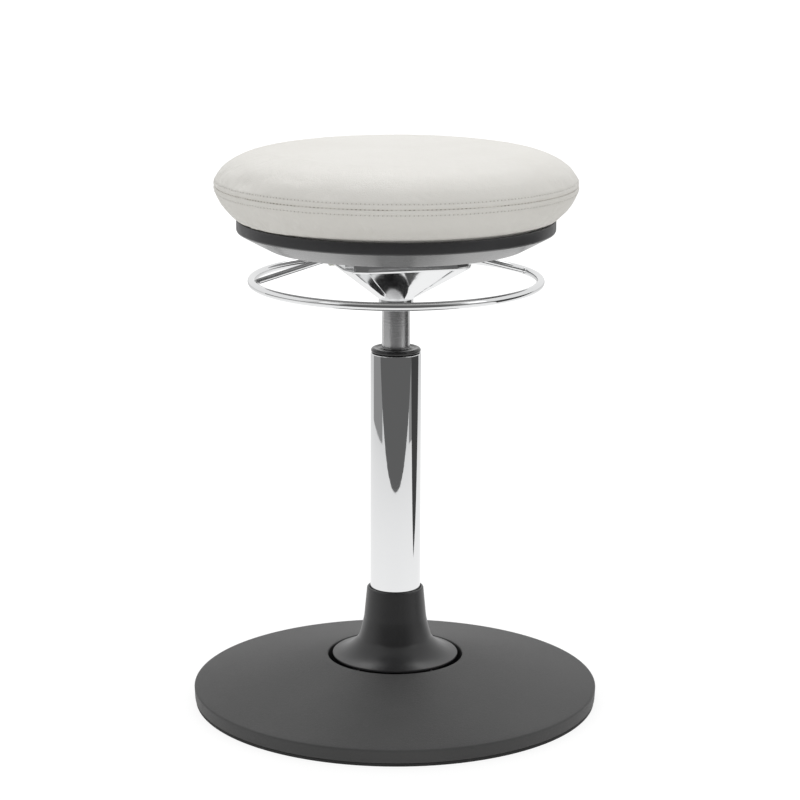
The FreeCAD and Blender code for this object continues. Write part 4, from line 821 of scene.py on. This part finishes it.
def settle_cover(line, off_seam, around):
    """Let the cover settle on the foam and give back its points."""
    grid = lathe(line, around)
    cover = new_piece("cover_cloth", grid_mesh("cover_cloth", grid), looks["white_leather"])
    inner = line.copy()
    slope = np.gradient(line, axis=0)
    inner -= FOAM_GAP * np.stack([-slope[:, 1], slope[:, 0]], axis=1) / np.hypot(*slope.T)[:, None]
    inner[:, 0] = np.maximum(inner[:, 0], 0.0)
    foam = new_piece("foam_form", grid_mesh("foam_form", lathe(inner, 144)), looks["foam"])
    pinned = cover.vertex_groups.new(name="pinned")
    slack = cover.vertex_groups.new(name="slack")
    pinned.add([0], 1.0, "REPLACE")
    for i in range(1, len(line)):
        far = abs(off_seam[i])
        hold = 1.0 if far < 0.5 or off_seam[i] > 75 or off_seam[i] < -40 else 0.0
        near = max(0.0, 1.0 - abs(off_seam[i] - 14.0) / 34.0)
        for k in range(around):
            index = 1 + (i - 1) * around + k
            if hold:
                pinned.add([index], hold, "REPLACE")
            if near:
                weight = near * float(fullness(TAU * k / around))
                slack.add([index], min(1.0, weight), "REPLACE")
    cloth = cover.modifiers.new("cloth", "CLOTH")
    setting = cloth.settings
    setting.quality = 5
    setting.mass = 0.25
    setting.tension_stiffness = 20
    setting.compression_stiffness = 14
    setting.shear_stiffness = 8
    setting.bending_stiffness = 0.9
    setting.air_damping = 3
    setting.vertex_group_mass = "pinned"
    setting.vertex_group_shrink = "slack"
    setting.shrink_min = 0.0
    setting.shrink_max = -0.045
    cloth.collision_settings.distance_min = 0.0008
    cloth.collision_settings.collision_quality = 2
    foam.modifiers.new("collision", "COLLISION")
    foam.collision.thickness_outer = 0.0003
    scene = bpy.context.scene
    cloth.point_cache.frame_start = 1
    cloth.point_cache.frame_end = SETTLE_FRAMES
    for step in range(1, SETTLE_FRAMES + 1):
        scene.frame_set(step)
    settled = cover.evaluated_get(bpy.context.evaluated_depsgraph_get()).to_mesh()
    flat = np.zeros(len(settled.vertices) * 3)
    settled.vertices.foreach_get("co", flat)
    points = flat.reshape(-1, 3)
    grid[0] = points[0]
    grid[1:] = points[1:].reshape(len(line) - 1, around, 3)
    scene.frame_set(1)
    bpy.data.objects.remove(cover)
    bpy.data.objects.remove(foam)
    return grid


def refine(grid, off_seam, places, around):
    """The settled cover at closer rows and more points round, by cubic steps."""
    at = np.interp(places, off_seam[::-1], np.arange(len(off_seam))[::-1])
    cell = np.clip(np.floor(at).astype(int), 0, len(off_seam) - 2)
    t = (at - cell)[:, None, None]
    a, b, c, d = (grid[np.clip(cell + k, 0, len(off_seam) - 1)] for k in (-1, 0, 1, 2))
    closer = b + 0.5 * t * (c - a + t * (2 * a - 5 * b + 4 * c - d + t * (3 * (b - c) + d - a)))
    turn = grid.shape[1]
    at = np.arange(around) * turn / around
    cell = np.floor(at).astype(int)
    t = (at - cell)[None, :, None]
    a, b, c, d = (closer[:, (cell + k) % turn] for k in (-1, 0, 1, 2))
    return b + 0.5 * t * (c - a + t * (2 * a - 5 * b + 4 * c - d + t * (3 * (b - c) + d - a)))


def outward(grid):
    """Unit normals of a grid of points, away from the middle of the cushion."""
    along = np.gradient(grid, axis=0)
    across = np.roll(grid, -1, axis=1) - np.roll(grid, 1, axis=1)
    normal = np.cross(along, across)
    size = np.linalg.norm(normal, axis=2, keepdims=True)
    normal = normal / np.maximum(size, 1e-12)
    return np.where(np.sum(normal * grid * (1, 1, 0.2), axis=2, keepdims=True) < 0, -normal, normal)


def dress_cushion():
    """Settled cover with its seam, stitch rows and puckers cut into the mesh."""
    line, off_seam = cover_line()
    around = 288
    grid = settle_cover(line, off_seam, around)
    plain = lathe(line, around)
    share = 0.3 + 0.7 * np.minimum(1.0, fullness(TAU * np.arange(around) / around))
    grid = plain + (grid - plain) * share[None, :, None]
    beside = [0.0, 0.5, 1.0, 1.6, 2.4, 3.4, 4.3, 4.9, 5.2, 5.5, 6.1, 7.2, 8.6, 10.4, 12.4]
    upper = beside + list(np.arange(15.0, 46.0, 2.6)) + list(np.linspace(48, off_seam[0], 24))
    lower = beside[1:] + list(np.arange(15.0, -off_seam[-1], 2.6)) + [-off_seam[-1]]
    places = np.array(upper[::-1] + [-d for d in lower])
    turn = 816
    fine = refine(grid, off_seam, places, turn)
    normal = outward(fine)
    near = np.abs(places)[:, None]
    angle = (TAU * np.arange(turn) / turn)[None, :]
    tight = 0.5 + 0.5 * np.cos(angle * STITCHES)
    groove = 0.6 * np.exp(-(near / 0.7) ** 2) * (1.0 + 0.5 * tight)
    lips = 0.35 * np.exp(-((near - 2.2) / 1.3) ** 2)
    channel = 0.42 * np.exp(-((near - ROW_GAP) / 0.8) ** 2) * (0.35 + 0.65 * tight)
    gather = np.where(places > 0, 1.0, 0.3)[:, None] * near * np.exp(-near / 6.0) * 0.2
    wave = np.sin(angle * 61 + 1.2 * np.sin(angle * 7)) * fullness(angle)
    dent = np.exp(-((places[:, None] - 15) / 8.0) ** 2) * fullness(angle)
    hills = np.abs(np.sin(angle * 9 + 1.4 * np.sin(angle * 4)))
    broad = dent * (4.2 * hills - 2.7)
    fold = np.exp(-(((angle - 3.72) / 0.012) ** 2)) - 0.8 * np.exp(-(((angle - 3.69) / 0.02) ** 2))
    broad = broad - 0.55 * fold * np.exp(-((places[:, None] + 2) / 16.0) ** 2)
    depth = -groove + lips - channel + gather * wave + broad
    fine = fine + normal * (depth * MM)[:, :, None]
    fine[0] = fine[0].mean(axis=0)
    mesh = grid_mesh("cushion_cover", fine)
    ring_of = np.r_[0, np.repeat(np.arange(1, len(places)), turn)]
    turn_of = np.r_[0, np.tile(np.arange(turn), len(places) - 1)]
    uv = mesh.uv_layers.new(name="seam_map")
    loops = np.zeros(len(mesh.loops), dtype=int)
    mesh.loops.foreach_get("vertex_index", loops)
    flat = np.zeros((len(loops), 2))
    flat[:, 0] = turn_of[loops] / turn
    flat[:, 1] = places[ring_of[loops]]
    starts = np.zeros(len(mesh.polygons), dtype=int)
    mesh.polygons.foreach_get("loop_start", starts)
    sizes = np.zeros(len(mesh.polygons), dtype=int)
    mesh.polygons.foreach_get("loop_total", sizes)
    face_of = np.repeat(np.arange(len(starts)), sizes)
    high = np.zeros(len(starts))
    np.maximum.at(high, face_of, flat[:, 0])
    wraps = (high[face_of] > 0.9) & (flat[:, 0] < 0.1)
    flat[wraps, 0] += 1.0
    uv.data.foreach_set("uv", flat.ravel())
    cushion = new_piece("cushion_cover", mesh, looks["white_leather"], 60.0)
    dress(cushion, "seat", "white_leather", "cover_top", "cover_side", "foam_core")
    dress_stitches(fine, places, normal)


def dress_stitches(fine, places, normal):
    """Two rows of thread beside the seam, one stitch after another."""
    bm = bmesh.new()
    turn = fine.shape[1]
    for side in (1, -1):
        row = int(np.argmin(np.abs(places - side * ROW_GAP)))
        for k in range(STITCHES):
            spot = (k + 0.5) * turn / STITCHES
            cell = int(spot) % turn
            share = spot - int(spot)
            here = Vector(fine[row, cell] * (1 - share) + fine[row, (cell + 1) % turn] * share)
            out = Vector(normal[row, cell])
            ahead = Vector(fine[row, (cell + 2) % turn] - fine[row, (cell - 1) % turn])
            ahead = (ahead - out * ahead.dot(out)).normalized()
            lean = out.cross(ahead) * 0.22 * side
            ahead = (ahead + lean).normalized()
            beside = out.cross(ahead)
            rows = []
            for j in range(7):
                along = -1 + j / 3
                thick = THREAD_RADIUS * math.sqrt(max(0.0, 1 - along ** 4)) + 0.02
                middle = here + ahead * along * STITCH_HALF * MM
                middle += out * (0.10 - 0.25 * along ** 2) * MM
                rows.append([bm.verts.new(middle + (out * math.cos(TAU * i / 8)
                             + beside * math.sin(TAU * i / 8)) * thick * MM)
                             for i in range(8)])
            for low, high in zip(rows, rows[1:]):
                for i in range(8):
                    right = (i + 1) % 8
                    bm.faces.new((low[i], high[i], high[right], low[right]))
            bm.faces.new(rows[0])
            bm.faces.new(rows[-1][::-1])
    bmesh.ops.recalc_face_normals(bm, faces=bm.faces)
    mesh = bpy.data.meshes.new("seam_stitches")
    bm.to_mesh(mesh)
    bm.free()
    stitches = new_piece("seam_stitches", mesh, thread(), 60.0)
    dress(stitches, "seat", "white_leather")


# Studio and camera.

# Where the dark parts of the room begin that only the chrome shows, in metres.
PAPER_FRONT = -1.085
PAPER_RIGHT = 0.55
ROOM_LEVEL = 0.64
SIDE_REACH = 1.62
SIDE_SPREAD = 1.88
LAMPS = [
    ("key_left", -52.0, 1.5, 2.2, 0.7, 1.1, 1.5),
    ("key_right", 64.0, 1.4, 2.2, 0.7, 1.1, 2.0),
    ("overhead", 180.0, 2.4, 1.3, 1.6, 1.6, 15.0),
]
FLOOR_HALF = 14.0


def studio():
    floor_look = bpy.data.materials.new("studio_floor")
    floor_look.use_nodes = True
    tree = floor_look.node_tree
    tree.nodes.clear()

    def add(kind, **inputs):
        node = tree.nodes.new(kind)
        for key, value in inputs.items():
            socket = node.inputs[key]
            if isinstance(value, bpy.types.NodeSocket):
                tree.links.new(value, socket)
            else:
                socket.default_value = value
        return node

    def calc(operation, a, b=0.0):
        node = tree.nodes.new("ShaderNodeMath")
        node.operation = operation
        for socket, value in zip(node.inputs, (a, b)):
            if isinstance(value, bpy.types.NodeSocket):
                tree.links.new(value, socket)
            else:
                socket.default_value = value
        return node.outputs[0]

    place = add("ShaderNodeTexCoord").outputs["Object"]
    split = add("ShaderNodeSeparateXYZ", Vector=place)
    past_front = calc("LESS_THAN", split.outputs["Y"], PAPER_FRONT)
    aside = calc("SUBTRACT", split.outputs["X"], PAPER_RIGHT)
    near_edge = calc("GREATER_THAN", split.outputs["Y"], calc("MULTIPLY", aside, -0.35))
    far_edge = calc("LESS_THAN", split.outputs["Y"], calc("MULTIPLY", aside, 0.9))
    past_right = calc("MULTIPLY", near_edge, far_edge)
    wide = calc("ABSOLUTE", split.outputs["X"])
    reach = calc("SQRT", calc("ADD", calc("MULTIPLY", wide, wide),
                              calc("MULTIPLY", split.outputs["Y"], split.outputs["Y"])))
    level = calc("MAXIMUM", calc("SUBTRACT", 0.91, calc("MULTIPLY", reach, 0.17)), 0.55)
    ahead = calc("ABSOLUTE", split.outputs["Y"])
    to_side = calc("GREATER_THAN", wide, calc("MULTIPLY", ahead, SIDE_SPREAD))
    far_side = calc("MULTIPLY", calc("GREATER_THAN", reach, SIDE_REACH), to_side)

    def dimmed(value, where, low):
        kept = calc("MULTIPLY", value, calc("SUBTRACT", 1.0, where))
        return calc("ADD", kept, calc("MULTIPLY", where, low))

    level = dimmed(level, far_side, 0.3)
    level = dimmed(level, past_front, 0.13)
    level = dimmed(level, past_right, 0.06)
    beyond = calc("MAXIMUM", far_side, calc("MAXIMUM", past_front, past_right))
    rays = add("ShaderNodeLightPath")
    seen = calc("MAXIMUM", rays.outputs["Is Camera Ray"], rays.outputs["Is Glossy Ray"])
    seen = calc("MAXIMUM", seen, rays.outputs["Is Transmission Ray"])
    dark_seen = calc("MULTIPLY", beyond, calc("SUBTRACT", 1.0, rays.outputs["Is Camera Ray"]))
    open_paper = calc("MINIMUM", 1.0, calc("ADD", 0.82, calc("MULTIPLY", reach, 0.16)))
    level = dimmed(level, rays.outputs["Is Camera Ray"], open_paper)
    glow = add("ShaderNodeEmission", Color=(1, 1, 1, 1), Strength=level)
    shade = calc("MULTIPLY", 0.2, calc("SUBTRACT", 1.0, dark_seen))
    grey = add("ShaderNodeCombineColor", Red=shade, Green=shade, Blue=shade)
    matte = add("ShaderNodeBsdfDiffuse", Color=grey.outputs["Color"])
    lit = add("ShaderNodeAddShader")
    tree.links.new(glow.outputs[0], lit.inputs[0])
    tree.links.new(matte.outputs[0], lit.inputs[1])
    plain = add("ShaderNodeBsdfDiffuse", Color=(0.88, 0.875, 0.86, 1.0))
    mix = add("ShaderNodeMixShader", Fac=seen)
    tree.links.new(plain.outputs[0], mix.inputs[1])
    tree.links.new(lit.outputs[0], mix.inputs[2])
    out = add("ShaderNodeOutputMaterial")
    tree.links.new(mix.outputs[0], out.inputs["Surface"])

    mesh = bpy.data.meshes.new("studio_floor")
    mesh.from_pydata([(-FLOOR_HALF, -FLOOR_HALF, 0), (FLOOR_HALF, -FLOOR_HALF, 0),
                      (FLOOR_HALF, FLOOR_HALF, 0), (-FLOOR_HALF, FLOOR_HALF, 0)],
                     [], [(0, 1, 2, 3)])
    floor = bpy.data.objects.new("studio_floor", mesh)
    bpy.context.scene.collection.objects.link(floor)
    mesh.materials.append(floor_look)

    world = bpy.data.worlds.new("studio")
    bpy.context.scene.world = world
    world.use_nodes = True
    tree = world.node_tree
    tree.nodes.clear()
    rays = tree.nodes.new("ShaderNodeLightPath")
    soft = tree.nodes.new("ShaderNodeBackground")
    soft.inputs["Color"].default_value = (1.0, 1.0, 1.0, 1.0)
    shown = tree.nodes.new("ShaderNodeBackground")
    shown.inputs["Color"].default_value = (1.0, 1.0, 1.0, 1.0)
    shown.inputs["Strength"].default_value = 1.0
    seen = tree.nodes.new("ShaderNodeMath")
    seen.operation = "MAXIMUM"
    tree.links.new(rays.outputs["Is Camera Ray"], seen.inputs[0])
    tree.links.new(rays.outputs["Is Transmission Ray"], seen.inputs[1])
    mirrored = tree.nodes.new("ShaderNodeBackground")
    place = tree.nodes.new("ShaderNodeTexCoord")
    split = tree.nodes.new("ShaderNodeSeparateXYZ")
    tree.links.new(place.outputs["Generated"], split.inputs[0])
    ramp = tree.nodes.new("ShaderNodeValToRGB")
    ramp.color_ramp.elements[0].position = 0.0
    ramp.color_ramp.elements[0].color = (0.12, 0.12, 0.12, 1)
    ramp.color_ramp.elements[1].position = 1.0
    ramp.color_ramp.elements[1].color = (0.9, 0.9, 0.9, 1)
    upward = tree.nodes.new("ShaderNodeMapRange")
    upward.inputs["To Min"].default_value = ROOM_LEVEL * 0.55
    upward.inputs["To Max"].default_value = ROOM_LEVEL * 1.45
    tree.links.new(split.outputs["Z"], upward.inputs["Value"])
    tree.links.new(upward.outputs[0], soft.inputs["Strength"])
    back = tree.nodes.new("ShaderNodeMapRange")
    back.inputs["From Min"].default_value = -0.75
    back.inputs["From Max"].default_value = -0.15
    tree.links.new(split.outputs["Y"], back.inputs["Value"])
    tree.links.new(back.outputs[0], ramp.inputs[0])
    tree.links.new(ramp.outputs[0], mirrored.inputs["Color"])
    glossy_mix = tree.nodes.new("ShaderNodeMixShader")
    tree.links.new(rays.outputs["Is Glossy Ray"], glossy_mix.inputs[0])
    tree.links.new(soft.outputs[0], glossy_mix.inputs[1])
    tree.links.new(mirrored.outputs[0], glossy_mix.inputs[2])
    mix = tree.nodes.new("ShaderNodeMixShader")
    tree.links.new(seen.outputs[0], mix.inputs[0])
    tree.links.new(glossy_mix.outputs[0], mix.inputs[1])
    tree.links.new(shown.outputs[0], mix.inputs[2])
    out = tree.nodes.new("ShaderNodeOutputWorld")
    tree.links.new(mix.outputs[0], out.inputs["Surface"])

    def softbox(name, azimuth, height, distance, width, tall, power):
        lamp = bpy.data.lights.new(name, "AREA")
        lamp.shape = "RECTANGLE"
        lamp.size = width
        lamp.size_y = tall
        lamp.energy = power
        holder = bpy.data.objects.new(name, lamp)
        bpy.context.scene.collection.objects.link(holder)
        angle = math.radians(azimuth)
        holder.location = (distance * math.sin(angle), -distance * math.cos(angle), height)
        aim = Vector((0, 0, 0.35)) - holder.location
        holder.rotation_euler = aim.to_track_quat("-Z", "Y").to_euler()

    for setting in LAMPS:
        softbox(*setting)


PHOTO_WIDTH = 800.0
LENS_PIXELS = 2549.1
CAMERA_PLACE = (0, -2.4653, 0.8672)
CAMERA_PITCH = 0.2229
CAMERA_YAW = -0.00171
CAMERA_ROLL = 0.0032


def camera():
    lens = bpy.data.cameras.new("photo_view")
    lens.sensor_width = 36.0
    lens.lens = LENS_PIXELS * lens.sensor_width / PHOTO_WIDTH
    lens.clip_end = 60.0
    holder = bpy.data.objects.new("photo_view", lens)
    bpy.context.scene.collection.objects.link(holder)
    turn = (Matrix.Rotation(CAMERA_YAW, 4, "Z")
            @ Matrix.Rotation(math.pi / 2 - CAMERA_PITCH, 4, "X")
            @ Matrix.Rotation(CAMERA_ROLL, 4, "Z"))
    holder.matrix_world = Matrix.Translation(CAMERA_PLACE) @ turn
    bpy.context.scene.camera = holder


dress_base()
dress_trumpet()
dress_column()
dress_gas_tube()
dress_pan()
dress_band()
dress_bracket()
dress_bolts()
dress_ring()
dress_cushion()
studio()
camera()
bpy.context.scene.view_settings.view_transform = "Standard"
